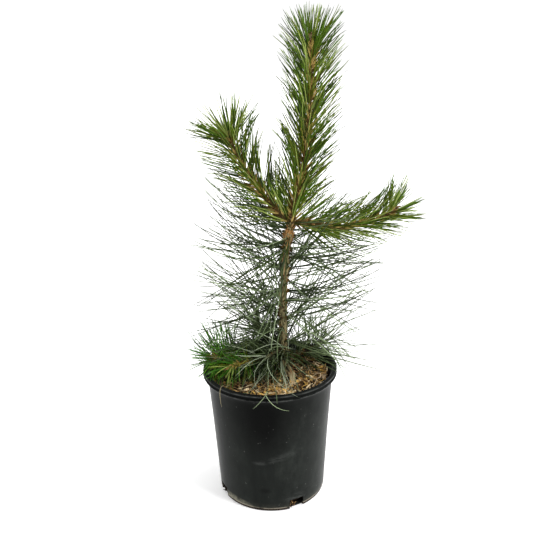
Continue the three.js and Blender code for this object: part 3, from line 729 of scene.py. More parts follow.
def needle_bodies(grown_on, palette):
    """The needles of each fascicle, which splay a little and bend their own way, and their shades."""
    rng, rule, way = grown_on.rng, grown_on.rule, grown_on.way
    count = len(way)
    side = unit(np.cross(way, UP + 0.01))
    over = np.cross(side, way)
    first = rng.uniform(0, FULL_TURN, count)
    shared_curl = rng.normal(0, rule.curl * SHARED_CURL, (count, 3))
    sag = -UP * (rule.droop + rule.side * way[:, :1])
    shared_shades = dealt(palette, grown_on.place, rng)
    bodies, kinds = [], []
    for k in range(NEEDLES_IN_FASCICLE):
        angle = (first + k * FULL_TURN / NEEDLES_IN_FASCICLE)[:, None]
        spread = side * np.cos(angle) + over * np.sin(angle)
        splay = np.radians(rng.uniform(*SPLAY_SPREAD, count) * rule.splay)[:, None]
        heading = unit(way + spread * splay)
        bend = shared_curl + rng.normal(0, rule.curl * OWN_CURL, (count, 3)) + sag
        bend -= heading * np.sum(bend * heading, axis=1, keepdims=True)
        hook = rng.normal(0, rule.hook, (count, 3))
        root = grown_on.root + heading * rule.sheath * SHEATH_HOLD + spread * rule.half * NEEDLE_APART
        length = grown_on.length * rng.uniform(*NEEDLE_SPREAD, count) - rule.sheath * SHEATH_HOLD
        bend, length = kept_clear(root, heading, bend, hook, length)
        length = within_reach(root, heading, bend, hook, length, rng.uniform(0, REACH_SPREAD, count))
        half = rule.half * rng.uniform(*WIDTH_SPREAD, count)
        bodies.append(tapered_bodies(root, heading, bend, length, half, NEEDLE_PROFILE, NEEDLE_SIDES,
                                     angle[:, 0], hooks=hook))
        own_shades = dealt(palette, grown_on.place, rng)
        kinds.append(np.where(rng.random(count) < OWN_SHADE, own_shades, shared_shades))
    return bodies, kinds


def sheath_bodies(grown_on):
    rng, rule, way = grown_on.rng, grown_on.rule, grown_on.way
    count = len(way)
    length = rule.sheath * rng.uniform(*SHEATH_SPREAD, count)
    half = np.full(count, rule.half * SHEATH_WIDTH)
    root = grown_on.root - way * SHEATH_BACK
    return tapered_bodies(root, way, np.zeros((count, 3)), length, half, SHEATH_PROFILE, SHEATH_SIDES,
                          rng.uniform(0, WIDEST_ROLL, count))


def bract_bodies(grown_on):
    """The pointed brown scale that stands under each fascicle of a new shoot."""
    out, count = grown_on.out, len(grown_on.way)
    way = unit(grown_on.way + out * BRACT_LEAN)
    root = grown_on.root - grown_on.way * BRACT_BACK
    length = BRACT_LENGTH * grown_on.rng.uniform(*BRACT_SPREAD, count)
    return tapered_bodies(root, way, out * BRACT_BOW, length, np.full(count, BRACT_HALF), BRACT_PROFILE,
                          FLAKE_SIDES, facing(way, out), flat=BRACT_FLATNESS)


def needle_piece(name, habit, groups, slot, replaced):
    """The needles, sheaths and bracts of one mass, joined. New shoots alone have bracts and pale sheaths."""
    palette, old = PALETTES[habit], slot == "old_needles"
    names = [kind for kind, _, _ in palette] + ["sheath_dark" if old else "sheath_tan", "sheath_brown"]
    bodies, kinds = [], []
    for grown_on in groups:
        needles, shades = needle_bodies(grown_on, palette)
        rng, count = grown_on.rng, len(grown_on.way)
        kinds += [*shades, len(palette) + (rng.random(count) > FIRST_SHEATHS)]
        bodies += [*needles, sheath_bodies(grown_on)]
        if not old:
            bodies.append(bract_bodies(grown_on))
            kinds.append(len(palette) + (rng.random(count) > FIRST_BRACTS))
    joined_piece(name, bodies, kinds, needle_materials(names), replaced)


class Graph:
    """A material's nodes, wired by name."""

    def __init__(self, name):
        self.material = bpy.data.materials.new(name)
        self.material.use_nodes = True
        self.tree = self.material.node_tree
        self.shader = self.tree.nodes["Principled BSDF"]
        self.place = self.node("ShaderNodeTexCoord", {}).outputs["Object"]

    def node(self, kind, inputs, **values):
        made = self.tree.nodes.new(kind)
        for key, value in values.items():
            setattr(made, key, value)
        for key, value in inputs.items():
            self.join(value, made.inputs[key])
        return made

    def join(self, value, socket):
        if isinstance(value, bpy.types.NodeSocket):
            self.tree.links.new(value, socket)
        else:
            socket.default_value = value

    def stretched(self, scale):
        return self.node("ShaderNodeMapping", {"Vector": self.place, "Scale": scale}).outputs["Vector"]

    def noise(self, scale, detail, roughness=0.55, stretch=None):
        vector = self.stretched(stretch) if stretch else self.place
        inputs = {"Vector": vector, "Scale": scale, "Detail": detail, "Roughness": roughness}
        return self.node("ShaderNodeTexNoise", inputs).outputs["Fac"]

    def plates(self, scale, stretch):
        """How far a place lies from the cracks between the bark's plates."""
        inputs = {"Vector": self.stretched(stretch), "Scale": scale}
        return self.node("ShaderNodeTexVoronoi", inputs, feature="DISTANCE_TO_EDGE").outputs["Distance"]

    def between(self, value, low, high, to_low=0.0, to_high=1.0):
        inputs = {"Value": value, "From Min": low, "From Max": high, "To Min": to_low, "To Max": to_high}
        return self.node("ShaderNodeMapRange", inputs, clamp=True).outputs["Result"]

    def plus(self, first, second):
        return self.node("ShaderNodeMath", {0: first, 1: second}, operation="ADD").outputs["Value"]

    def times(self, first, second):
        return self.node("ShaderNodeMath", {0: first, 1: second}, operation="MULTIPLY").outputs["Value"]

    def mixed(self, share, first, second):
        first, second = ((*c, 1) if isinstance(c, tuple) else c for c in (first, second))
        inputs = {"Factor": share, 6: first, 7: second}
        return self.node("ShaderNodeMix", inputs, data_type="RGBA").outputs[2]

    def spot(self, centre, reach):
        """A soft patch round a place, fading out at its reach along each axis."""
        scale = [1 / r for r in reach]
        moved = [-c / r for c, r in zip(centre, reach)]
        inputs = {"Vector": self.place, "Location": moved, "Scale": scale}
        near = self.node("ShaderNodeMapping", inputs).outputs["Vector"]
        far = self.node("ShaderNodeVectorMath", {0: near}, operation="LENGTH").outputs["Value"]
        return self.between(far, 1.0, 0.25)

    def radius(self):
        level = self.node("ShaderNodeVectorMath", {0: self.place, 1: (1, 1, 0)}, operation="MULTIPLY")
        inputs = {0: level.outputs["Vector"]}
        return self.node("ShaderNodeVectorMath", inputs, operation="LENGTH").outputs["Value"]

    def height(self):
        return self.node("ShaderNodeSeparateXYZ", {"Vector": self.place}).outputs["Z"]

    def finish(self, colour, roughness, bump, distance, strength=1.0, specular=0.15):
        self.join(colour, self.shader.inputs["Base Color"])
        self.join(roughness, self.shader.inputs["Roughness"])
        self.shader.inputs["Specular IOR Level"].default_value = specular
        inputs = {"Height": bump, "Distance": distance, "Strength": strength}
        self.join(self.node("ShaderNodeBump", inputs).outputs["Normal"], self.shader.inputs["Normal"])
        return self.material


# The smear across the front of the pot: the x and z of each patch, and how high it reaches.
SMEAR = (
    (-0.020, 0.095, 0.0045),
    (-0.008, 0.0985, 0.0055),
    (0.004, 0.1025, 0.0070),
    (0.016, 0.1065, 0.0085),
    (0.028, 0.1115, 0.0070),
    (0.040, 0.1160, 0.0050),
)
SMEAR_FRONT = -0.095
SMEAR_REACH = (0.015, 0.03)
# Other patches on the pot: the middle of each, and its reach along each axis.
WORN_PATCH = ((0.040, -0.084, 0.021), (0.022, 0.02, 0.011))
DUSTY_PATCH = ((-0.066, -0.060, 0.004), (0.046, 0.05, 0.013))
# The next is a painted shade on the front of the wall, under the rim.
PAINTED_SHADE_PATCH = ((-0.012, -0.098, 0.182), (0.062, 0.05, 0.105))
STAINED_PATCH = ((-0.0128, -0.095, 0.041), (0.013, 0.03, 0.007))
# Radii between which the painted highlight on the rim's beads, and the dust and the dark line of the foot,
# set in.
RIM_HIGHLIGHT_BAND = (0.1130, 0.1138)
FOOT_BAND = (0.0865, 0.0885)
# Heights between which the pale edge and the dark line at the foot fade out.
EDGE_BAND = (0.0070, 0.0060)
DARK_LINE_BAND = (0.0050, 0.0042)
# Heights between which the pot is painted darker towards its rim: a painted shade under the rim.
RIM_SHADE_BAND = (0.110, 0.200)
# Colours laid over the plastic. The dark and the shaded ones are painted shade under the rim, and the rim's
# is a painted highlight.
POT_MARKS = {
    "dark": (0.0010, 0.0012, 0.0010),
    "shaded": (0.0008, 0.0009, 0.0008),
    "stain": (0.003, 0.003, 0.003),
    "scuff": (0.15, 0.155, 0.15),
    "specks": (0.10, 0.10, 0.095),
    "rim_highlight": (0.085, 0.090, 0.085),
    "edge": (0.36, 0.32, 0.25),
    "dark_line": (0.012, 0.006, 0.004),
}


def scuffed(graph):
    """Where the pot is scuffed: a smear across its front, a worn patch and thin clouds."""
    worn = graph.times(graph.spot(*WORN_PATCH), 2.2)
    across, through = SMEAR_REACH
    for x, z, reach in SMEAR:
        worn = graph.plus(worn, graph.spot((x, SMEAR_FRONT, z), (across, through, reach)))
    worn = graph.plus(worn, graph.times(graph.between(graph.noise(9, 5), 0.56, 0.72), 0.45))
    scratches = graph.noise(120, 8, 0.75, (0.25, 0.25, 1.0))
    return graph.times(worn, graph.between(scratches, 0.42, 0.66))


def soiled_foot(graph, height):
    """Where dust, a pale edge and a dark line lie at the pot's foot."""
    foot = graph.between(graph.radius(), *FOOT_BAND)
    low = graph.times(graph.between(height, 0.016, 0.0), 0.12)
    dusty = graph.times(graph.plus(graph.spot(*DUSTY_PATCH), low), foot)
    dust = graph.times(dusty, graph.between(graph.noise(130, 8, 0.75), 0.40, 0.58, 0.2, 1.35))
    broken = graph.between(graph.noise(50, 3), 0.38, 0.5)
    edge = graph.times(graph.times(graph.between(height, *EDGE_BAND), broken), foot)
    dark_line = graph.times(graph.between(height, *DARK_LINE_BAND), foot)
    return dust, edge, dark_line


def plastic_material(settings):
    """Satin black plastic with a fine grain and faint scuffs, a painted shade under the rim, a painted
    highlight along the rim's beads, and dust and a dark line at the foot.
    """
    graph = Graph("pot_plastic")
    plastic = tuple(settings.plastic)
    height = graph.height()
    scuff = scuffed(graph)
    dust, edge, dark_line = soiled_foot(graph, height)
    streaks = graph.noise(14, 6, 0.6, (1.0, 1.0, 0.12))
    mottle = graph.noise(70, 7, 0.68, (1.0, 1.0, 0.6))
    specks = graph.noise(210, 2, 0.5)
    broken_highlight = graph.between(graph.noise(60, 5, 0.65), 0.40, 0.60, 0.0, 0.55)
    colour = graph.mixed(graph.between(streaks, 0.35, 0.7), plastic, tuple(settings.haze))
    colour = graph.mixed(graph.between(mottle, 0.38, 0.66, 0.75, 0.0), colour, plastic)
    layers = (
        # Painted shade: the upper wall darkened towards the rim, and the front under it.
        ("dark", graph.between(height, *RIM_SHADE_BAND, 0.0, 0.55)),
        ("shaded", graph.times(graph.spot(*PAINTED_SHADE_PATCH), 0.92)),
        ("stain", graph.times(graph.spot(*STAINED_PATCH), 0.6)),
        ("scuff", graph.times(scuff, 0.17)),
        ("specks", graph.between(specks, 0.72, 0.76, 0.0, 0.5)),
        # A painted highlight along the crests of the rim's beads, broken by noise.
        ("rim_highlight", graph.times(graph.between(graph.radius(), *RIM_HIGHLIGHT_BAND), broken_highlight)),
    )
    for mark, share in layers:
        colour = graph.mixed(share, colour, POT_MARKS[mark])
    colour = graph.mixed(graph.times(dust, 0.75), colour, tuple(settings.dust))
    colour = graph.mixed(graph.times(edge, 0.55), colour, POT_MARKS["edge"])
    # A dark line at the very foot.
    colour = graph.mixed(graph.times(dark_line, 0.95), colour, POT_MARKS["dark_line"])
    rough = graph.between(graph.plus(streaks, scuff), 0.3, 1.2, 0.38, 0.62)
    waves = graph.noise(22, 3, 0.5, (1.0, 1.0, 0.5))
    bump = graph.plus(graph.times(graph.noise(900, 2), 0.08), waves)
    graph.shader.inputs["Sheen Weight"].default_value = 0.26
    graph.shader.inputs["Sheen Roughness"].default_value = 0.30
    return graph.finish(colour, rough, bump, 0.0012, 0.5, specular=0.03)


def soil_material(settings):
    graph = Graph("damp_fill")
    clods = graph.noise(140, 8, 0.7)
    fibres = graph.noise(260, 4, 0.6, (1.0, 0.35, 1.0))
    colour = graph.mixed(graph.between(clods, 0.4, 0.7), tuple(settings.soil), (0.050, 0.028, 0.013))
    colour = graph.mixed(graph.between(fibres, 0.6, 0.72, 0.0, 0.6), colour, (0.10, 0.06, 0.03))
    return graph.finish(colour, 0.95, clods, 0.004)


# Grain that runs no way more than another.
EVEN_GRAIN = (1.0, 1.0, 1.0)


def darkened(colour, share):
    return tuple(part * share for part in colour)


def wood_material(name, colour, dark, scale, stretch=EVEN_GRAIN):
    """Split wood or bark with a fibrous grain."""
    graph = Graph(name)
    grain = graph.noise(scale, 8, 0.65, stretch)
    blotch = graph.noise(45, 3)
    mixed = graph.mixed(graph.between(grain, 0.36, 0.62), dark, colour)
    mixed = graph.mixed(graph.between(blotch, 0.5, 0.75, 0.0, 0.4), mixed, dark)
    return graph.finish(mixed, 0.85, grain, 0.0014, 0.8)


def shred_materials(settings):
    colours = [tuple(getattr(settings, wood)) for wood in WOODS]
    return [
        wood_material(f"wood_{wood}", colour, darkened(colour, 0.42), 420)
        for wood, colour in zip(WOODS, colours)
    ]


# Heights between which the old bark turns into the collar's, and that into the leader's.
COLLAR_START = (0.436, 0.446)
COLLAR_END = (0.453, 0.464)


def bark_material(settings):
    """Grey-brown furrowed bark below, orange-brown at the whorl, and olive-brown on the new shoots above."""
    graph = Graph("bark")
    height = graph.height()
    plates = graph.plates(170, (1.0, 1.0, 0.22))
    fine = graph.noise(420, 8, 0.7, (1.0, 1.0, 0.3))
    patches = graph.noise(60, 5, 0.6, (1.0, 1.0, 0.5))
    old = graph.mixed(graph.between(plates, 0.0, 0.16), tuple(settings.crack), tuple(settings.old))
    old = graph.mixed(graph.between(patches, 0.56, 0.74), old, (0.44, 0.205, 0.072))
    old = graph.mixed(graph.between(patches, 0.5, 0.3, 0.0, 0.7), old, (0.085, 0.095, 0.04))
    young = graph.mixed(graph.between(patches, 0.4, 0.65), tuple(settings.young), (0.10, 0.085, 0.025))
    collar = graph.mixed(graph.between(fine, 0.4, 0.62), (0.28, 0.145, 0.052), tuple(settings.collar))
    colour = graph.mixed(graph.between(height, *COLLAR_START), old, collar)
    colour = graph.mixed(graph.between(height, *COLLAR_END), colour, young)
    colour = graph.mixed(graph.between(fine, 0.56, 0.4, 0.0, 0.45), colour, (0.05, 0.035, 0.02))
    bump = graph.plus(graph.between(plates, 0.0, 0.2), graph.times(fine, 0.6))
    return graph.finish(colour, 0.88, bump, 0.0008)


def turned_solid(name, profile, sides):
    """A solid turned about Z: a disc is extruded along its profile of radius and height, ring by ring."""
    deselect()
    (radius, height), *rest = profile
    bpy.ops.mesh.primitive_circle_add(
        vertices=sides, radius=radius, fill_type="NGON", location=(0, 0, height)
    )
    piece = bpy.context.object
    bpy.ops.object.mode_set(mode="EDIT")
    bpy.ops.mesh.select_all(action="SELECT")
    for next_radius, next_height in rest:
        bpy.ops.mesh.extrude_region_move(TRANSFORM_OT_translate={"value": (0, 0, next_height - height)})
        bpy.ops.transform.resize(value=(next_radius / radius, next_radius / radius, 1))
        radius, height = next_radius, next_height
    bpy.ops.mesh.select_all(action="SELECT")
    bpy.ops.mesh.normals_make_consistent(inside=False)
    bpy.ops.object.mode_set(mode="OBJECT")
    bpy.ops.object.transform_apply(location=True, rotation=True, scale=True)
    piece.name = name
    return piece


def smooth_by_angle(piece, degrees):
    make_active(piece)
    bpy.ops.object.shade_smooth_by_angle(angle=math.radians(degrees))


def cut_away(piece, cutter):
    """Cuts one solid out of another, and removes the cutter."""
    cut = piece.modifiers.new("cut", "BOOLEAN")
    cut.operation = "DIFFERENCE"
    cut.solver = "EXACT"
    cut.object = cutter
    apply_modifiers(piece)
    bpy.data.objects.remove(cutter)


# The drain slots at the foot: each one's angle from the front, and how wide, deep and high it is cut.
SLOTS = (
    (26, 0.026, 0.012, 0.0185),
    (104, 0.026, 0.012, 0.0160),
    (206, 0.026, 0.012, 0.0160),
    (294, 0.026, 0.008, 0.0175),
)
# Noise vectors start from the clock unless they are given a seed.
SLOT_SEED = 3
# How finely a slot's cutter is divided, how fine and how deep its edge is ragged, and above which height.
CUTTER_CUTS = 7
RAGGED_FINENESS = 260
RAGGED_DEPTH = 0.0009
RAGGED_ABOVE = 0.004


def slot_cutter(settings, angle, width, depth, height):
    """The hole of a drain slot, with a ragged edge."""
    turn = math.radians(angle)
    reach = settings.foot_radius
    place = (math.sin(turn) * reach, -math.cos(turn) * reach, 0)
    deselect()
    bpy.ops.mesh.primitive_cube_add(
        size=1, location=place, rotation=(0, 0, turn), scale=(width, depth, height * 2)
    )
    bpy.ops.object.transform_apply(location=True, rotation=True, scale=True)
    cutter = bpy.context.object
    bpy.ops.object.mode_set(mode="EDIT")
    bpy.ops.mesh.subdivide(number_cuts=CUTTER_CUTS)
    bpy.ops.object.mode_set(mode="OBJECT")
    for vertex in cutter.data.vertices:
        spot = vertex.co * RAGGED_FINENESS + Vector((angle, 0, 0))
        if vertex.co.z > RAGGED_ABOVE:
            vertex.co += noise.noise_vector(spot) * RAGGED_DEPTH
    return cutter


POT_SIDES = 144
SHOULDER_DEPTH = 0.023  # from the rim's top down to where the wall ends
WALL_STEPS = 16
WALL_START = 0.003
# How far the wall swells towards the rim, from which share of its height, and how suddenly.
WALL_SWELL = (0.0013, 0.45, 1.6)
# Offsets outwards and upwards: of the underside's edge from the foot, and of the flare from the wall's top.
UNDERSIDE = ((-0.0026, 0.0), (-0.0007, 0.0007))
FLARE = ((0.0020, 0.004), (0.0030, 0.008), (0.0048, 0.011))
# The rim's two beads: how far inside its radius and above its foot each point lies.
BEADS = (
    (0.0036, 0.0), (0.0008, 0.0003), (0.0001, 0.0014), (0.0005, 0.0026), (0.0024, 0.0034), (0.0028, 0.0050),
    (0.0024, 0.0066), (0.0006, 0.0076), (0.0001, 0.0088), (0.0007, 0.0102), (0.0024, 0.0110),
)
# The rim's lip: how far outside its inner radius and below its top each point lies.
LIP = ((0.0014, 0.0), (0.0003, 0.0008), (0.0, 0.0024))
# Where the inside leaves the rim, outwards from the shoulder and below the rim's foot.
UNDER_RIM = (0.0004, 0.004)
POT_FLOOR = 0.0025


def pot_profile(pot):
    """Radii and heights of the pot's skin, up its outside, over its double-beaded rim and down its inside."""
    foot, shoulder = pot.foot_radius, pot.shoulder_radius
    top, rim, inside = pot.height, pot.rim_radius, pot.rim_radius - pot.rim_width
    wall_top, rim_foot = top - SHOULDER_DEPTH, top - pot.rim_depth
    outside = [(foot + out, up) for out, up in UNDERSIDE]
    most, first, power = WALL_SWELL
    for t in np.linspace(0, 1, WALL_STEPS):
        swell = most * max(0.0, (t - first) / (1 - first)) ** power
        outside.append((foot + (shoulder - foot) * t + swell, WALL_START + (wall_top - WALL_START) * t))
    outside += [(shoulder + out, wall_top + up) for out, up in FLARE]
    rolled = [(rim - inward, rim_foot + up) for inward, up in BEADS]
    lip = [(inside + out, top - down) for out, down in LIP]
    out, down = UNDER_RIM
    inner = [
        (shoulder + out, rim_foot - down), (shoulder - pot.wall, wall_top), (foot - pot.wall, POT_FLOOR)
    ]
    return outside + rolled + lip + inner


class PINE_OT_pot(bpy.types.Operator):
    """Turn the moulded pot, cut its drain slots and finish its plastic"""

    bl_idname = "pine.pot"
    bl_label = "Pot"

    def execute(self, context):
        settings = context.scene.pine_pot
        pot = turned_solid("pot_shell", pot_profile(settings), POT_SIDES)
        noise.seed_set(SLOT_SEED)
        for slot in SLOTS:
            cut_away(pot, slot_cutter(settings, *slot))
        smooth_by_angle(pot, 34)
        finish(pot, "pot_shell", [plastic_material(settings)], ["pot"])
        return {"FINISHED"}


TRUNK_FOOT = Vector((0.024, 0.008))
# The fill is level this near to the trunk, and its ripples grow to their full height over this distance.
LEVEL_ROUND_TRUNK = 0.030
RIPPLES_GROW = 0.025


def fill_height(x, y, settings):
    """The lie of the fill: low ripples, which die out round the trunk."""
    from_trunk = np.hypot(x - TRUNK_FOOT.x, y - TRUNK_FOOT.y)
    share = np.clip((from_trunk - LEVEL_ROUND_TRUNK) / RIPPLES_GROW, 0, 1)
    share = share * share * (3 - 2 * share)
    ripple = np.sin(x / 0.017 + 1) * np.cos(y / 0.013) + 0.5 * np.sin(x / 0.007 + y / 0.009)
    return settings.level + share * settings.relief * ripple


# The bed keeps this clear of the wall, and is set back at its foot, where the drain slots are.
BED_GAP = 0.00035
BED_SET_BACK = 0.011
BED_FOOT = 0.0029
SET_BACK_TOP = 0.022
BED_WIDENED = 0.034
BED_SIDES = 128
# The rings of its top, the radius of the innermost, and how far from the edge the roughness ends.
BED_RINGS = 44
BED_MIDDLE = 0.0012
BED_EDGE = 0.001
# How far its top lies under the shreds, how fine its roughness is, and how deep.
BED_SUNK = 0.0012
BED_FINENESS = 130
BED_ROUGHNESS = 0.0016


class PINE_OT_growing_medium(bpy.types.Operator):
    """Fill the pot with damp bark mix, with a rough top"""

    bl_idname = "pine.growing_medium"
    bl_label = "Growing medium"

    def execute(self, context):
        settings, pot = context.scene.pine_mulch, context.scene.pine_pot
        edge = pot.shoulder_radius - pot.wall - BED_GAP
        foot = pot.foot_radius - pot.wall - BED_GAP
        set_back = foot - BED_SET_BACK
        inward = [(radius, settings.level) for radius in np.linspace(edge, BED_MIDDLE, BED_RINGS)[1:]]
        profile = [
            (set_back, BED_FOOT),
            (set_back, SET_BACK_TOP),
            (foot, BED_WIDENED),
            (edge, pot.height - SHOULDER_DEPTH),
            (edge, settings.level),
            *inward,
        ]
        bed = turned_solid("bark_mix", profile, BED_SIDES)
        for vertex in bed.data.vertices:
            x, y, z = vertex.co
            if z > settings.level - BED_EDGE and math.hypot(x, y) < edge - BED_EDGE:
                rough = noise.fractal(Vector((x, y, 0)) * BED_FINENESS, 1.0, 2.0, 4) * BED_ROUGHNESS
                vertex.co.z = fill_height(x, y, settings) - BED_SUNK + rough
        smooth_by_angle(bed, 50)
        finish(bed, "bark_mix", [soil_material(settings)], ["growing_medium"])
        return {"FINISHED"}


class ShredForm(NamedTuple):
    """One form of the loose shreds on the fill."""

    share: float  # of all the shreds
    lengths: tuple  # the shortest and the longest
    halves: tuple  # half of the narrowest's width and of the widest's
    flat: float
    bow: float
    profile: tuple


SHRED_FORMS = (
    ShredForm(0.46, (0.007, 0.016), (0.0013, 0.0029), 0.30, 0.5, FLAKE_PROFILE),
    ShredForm(0.36, (0.012, 0.028), (0.0008, 0.0016), 0.60, 0.6, STRIP_PROFILE),
    ShredForm(0.18, (0.014, 0.034), (0.0003, 0.0006), 0.90, 1.6, STRIP_PROFILE),
)
WOODS = ("gold", "cream", "tan", "brown", "grey", "dark")
# The shares of those woods among the dry shreds, and in the heap of fresh golden wood.
DRY_WOODS = np.array((0.08, 0.13, 0.27, 0.26, 0.10, 0.16))
FRESH_WOODS = np.array((0.42, 0.34, 0.12, 0.04, 0.02, 0.06))
# The heap's middle and its spread.
FRESH_HEAP = ((0.034, -0.074), (0.046, 0.030))
SHRED_REACH = 0.1015
# How shreds tilt and roll, how high they lie on the fill, and how much of their bow sags.
SHRED_TILT = 0.3
SHRED_LIE = (-0.0005, 0.0036)
SHRED_SAG = 0.4
QUARTER_ROLL = math.pi / 4
MULCH_SEED = 5


def scattered_shreds(settings, rng, form):
    """Loose shreds of one form, every way on the fill, with the fresh wood's colours where it was heaped."""
    count = int(settings.shreds * form.share)
    angle = rng.uniform(0, FULL_TURN, count)
    out = SHRED_REACH * np.sqrt(rng.uniform(0, 1, count))
    x, y = out * np.cos(angle), out * np.sin(angle)
    length = rng.uniform(*form.lengths, count)
    heading = rng.uniform(0, FULL_TURN, count)
    tilt = rng.normal(0, SHRED_TILT, count)
    way = np.stack((np.cos(heading) * np.cos(tilt), np.sin(heading) * np.cos(tilt), np.sin(tilt)), axis=-1)
    height = fill_height(x, y, settings) + rng.uniform(*SHRED_LIE, count)
    bend = rng.normal(0, form.bow, (count, 3))
    bend[:, 2] = -np.abs(bend[:, 2]) * SHRED_SAG
    root = np.stack((x, y, height), axis=-1) - way * (length / 2)[:, None]
    held = np.ones(count, bool)
    for step in (0.0, 0.5, 1.0):
        point = root + (way * step + bend * step**2 / 2) * length[:, None]
        held &= np.hypot(point[:, 0], point[:, 1]) < SHRED_REACH
    (heap_x, heap_y), (wide, deep) = FRESH_HEAP
    fresh = np.exp(-(((x - heap_x) / wide) ** 2) - ((y - heap_y) / deep) ** 2)[:, None]
    chances = np.cumsum(DRY_WOODS + (FRESH_WOODS - DRY_WOODS) * fresh, axis=1)
    kind = (rng.random(count)[:, None] > chances[:, :-1]).sum(axis=1)
    roll = rng.normal(0, SHRED_TILT, count) + QUARTER_ROLL
    half = rng.uniform(*form.halves, count)
    body = tapered_bodies(root[held], way[held], bend[held], length[held], half[held], form.profile,
                          FLAKE_SIDES, roll[held], flat=form.flat)
    return body, kind[held]


# Slivers that stand out on the fill: where each starts and ends, half its width, its bow and its wood.
SLIVERS = (
    ((0.0925, 0.001, 0.2085), (0.0950, 0.002, 0.2250), 0.0017, (0.0, 0.0, 0.0), "tan"),
    ((0.0965, -0.004, 0.2090), (0.0985, 0.003, 0.2190), 0.0012, (0.0, 0.0, 0.0), "cream"),
    ((0.0700, -0.010, 0.2120), (0.0960, -0.014, 0.2155), 0.0016, (0.0, 0.3, 0.2), "tan"),
    ((-0.0520, -0.060, 0.2125), (-0.0270, -0.044, 0.2135), 0.0009, (0.1, -0.3, 0.5), "cream"),
    ((-0.0430, -0.066, 0.2125), (-0.0345, -0.063, 0.2140), 0.0026, (0.0, 0.0, 0.0), "cream"),
    ((0.0200, -0.090, 0.2130), (0.0400, -0.079, 0.2135), 0.0015, (0.0, 0.0, -0.3), "gold"),
    ((0.0580, -0.064, 0.2130), (0.0700, -0.048, 0.2140), 0.0016, (0.0, 0.0, -0.3), "cream"),
)
SLIVER_FLATNESS = 0.4
# Roots and clods that show in two of the drain slots: their middle, their spread, their number and woods. The
# second is all dark bodies that fill the side slot: painted shade of the pot's dark inside.
SLOT_CLUMPS = (
    ((0.0330, -0.0835, 0.0060), (0.0035, 0.0030, 0.0030), 22, ("tan", "brown", "dark")),
    ((-0.0800, -0.0350, 0.0080), (0.0025, 0.0060, 0.0045), 60, ("dark", "dark", "dark")),
)
CLUMP_BOW = 0.8
CLUMP_LENGTHS = (0.003, 0.007)
CLUMP_HALVES = (0.0003, 0.0010)


def sliver_bodies():
    starts, ends, halves, bows, woods = (list(column) for column in zip(*SLIVERS))
    starts, ends, bows = np.array(starts), np.array(ends), np.array(bows)
    lengths = np.linalg.norm(ends - starts, axis=1)
    ways = (ends - starts) / lengths[:, None] - bows / 2
    made = tapered_bodies(starts, ways, bows, lengths, np.array(halves), FLAKE_PROFILE, FLAKE_SIDES,
                          np.full(len(woods), QUARTER_ROLL), flat=SLIVER_FLATNESS)
    return made, np.array([WOODS.index(wood) for wood in woods])


def clump_bodies(rng, middle, spread, count, woods):
    root = np.array(middle) + rng.uniform(-1, 1, (count, 3)) * spread
    way, bend = rng.normal(0, 1, (count, 3)), rng.normal(0, CLUMP_BOW, (count, 3))
    way[:, 2], bend[:, 2] = np.abs(way[:, 2]), np.abs(bend[:, 2])
    made = tapered_bodies(root, way, bend, rng.uniform(*CLUMP_LENGTHS, count),
                          rng.uniform(*CLUMP_HALVES, count), STRIP_PROFILE, FLAKE_SIDES,
                          rng.uniform(0, WIDEST_ROLL, count))
    return made, rng.choice([WOODS.index(wood) for wood in woods], count)


class PINE_OT_mulch(bpy.types.Operator):
    """Scatter shreds of bark and wood over the fill"""

    bl_idname = "pine.mulch"
    bl_label = "Mulch shreds"

    def execute(self, context):
        settings = context.scene.pine_mulch
        rng = np.random.default_rng(MULCH_SEED)
        shreds = [scattered_shreds(settings, rng, form) for form in SHRED_FORMS]
        shreds += [sliver_bodies(), *(clump_bodies(rng, *clump) for clump in SLOT_CLUMPS)]
        bodies, kinds = zip(*shreds)
        joined_piece("mulch_shreds", bodies, kinds, shred_materials(settings))
        return {"FINISHED"}


# Corners this close are merged, and faces that turn less than this many degrees are joined.
MERGED_WITHIN = 0.00001
JOINED_WITHIN = 4


def worked_copy(node, name):
    """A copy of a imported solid, merged and freed of what its seams cut up, to be worked further."""
    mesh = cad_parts[node].data.copy()
    piece = bpy.data.objects.new(name, mesh)
    bpy.context.collection.objects.link(piece)
    make_active(piece)
    bpy.ops.object.mode_set(mode="EDIT")
    bpy.ops.mesh.select_all(action="SELECT")
    bpy.ops.mesh.remove_doubles(threshold=MERGED_WITHIN)
    bpy.ops.mesh.dissolve_limited(angle_limit=math.radians(JOINED_WITHIN))
    bpy.ops.object.mode_set(mode="OBJECT")
    return piece


def split_wood(piece, bevel, cuts, depth, stretch, seed):
    """Rounds a slab's edges, cuts it finer and roughens it along its grain."""
    rounded = piece.modifiers.new("rounded", "BEVEL")
    rounded.width = bevel
    rounded.segments = 2
    apply_modifiers(piece)
    bpy.ops.object.mode_set(mode="EDIT")
    bpy.ops.mesh.select_all(action="SELECT")
    bpy.ops.mesh.quads_convert_to_tris()
    for _ in range(cuts):
        bpy.ops.mesh.subdivide(number_cuts=1)
    bpy.ops.object.mode_set(mode="OBJECT")
    normals = [vertex.normal.copy() for vertex in piece.data.vertices]
    for vertex, normal in zip(piece.data.vertices, normals):
        spot = Vector(vertex.co[i] * stretch[i] for i in range(3)) + Vector((seed, 0, 0))
        vertex.co += normal * (noise.fractal(spot, 0.8, 2.0, 4) * depth)
    smooth_by_angle(piece, 40)


CHIPS = 12
# The chips of pale wood. The others are bark.
PALE_CHIPS = (1, 2, 6)
# How a chip and the splinter are worked: their bevel, the cuts that make them finer, the depth of their
# roughness, and how fine that is along each axis.
CHIP_WORK = (0.0006, 2, 0.0006, (260, 260, 260))
SPLINTER_WORK = (0.0005, 3, 0.0007, (420, 420, 60))
CHIP_SEEDS_APART = 7.3
SPLINTER_SEED = 3.0


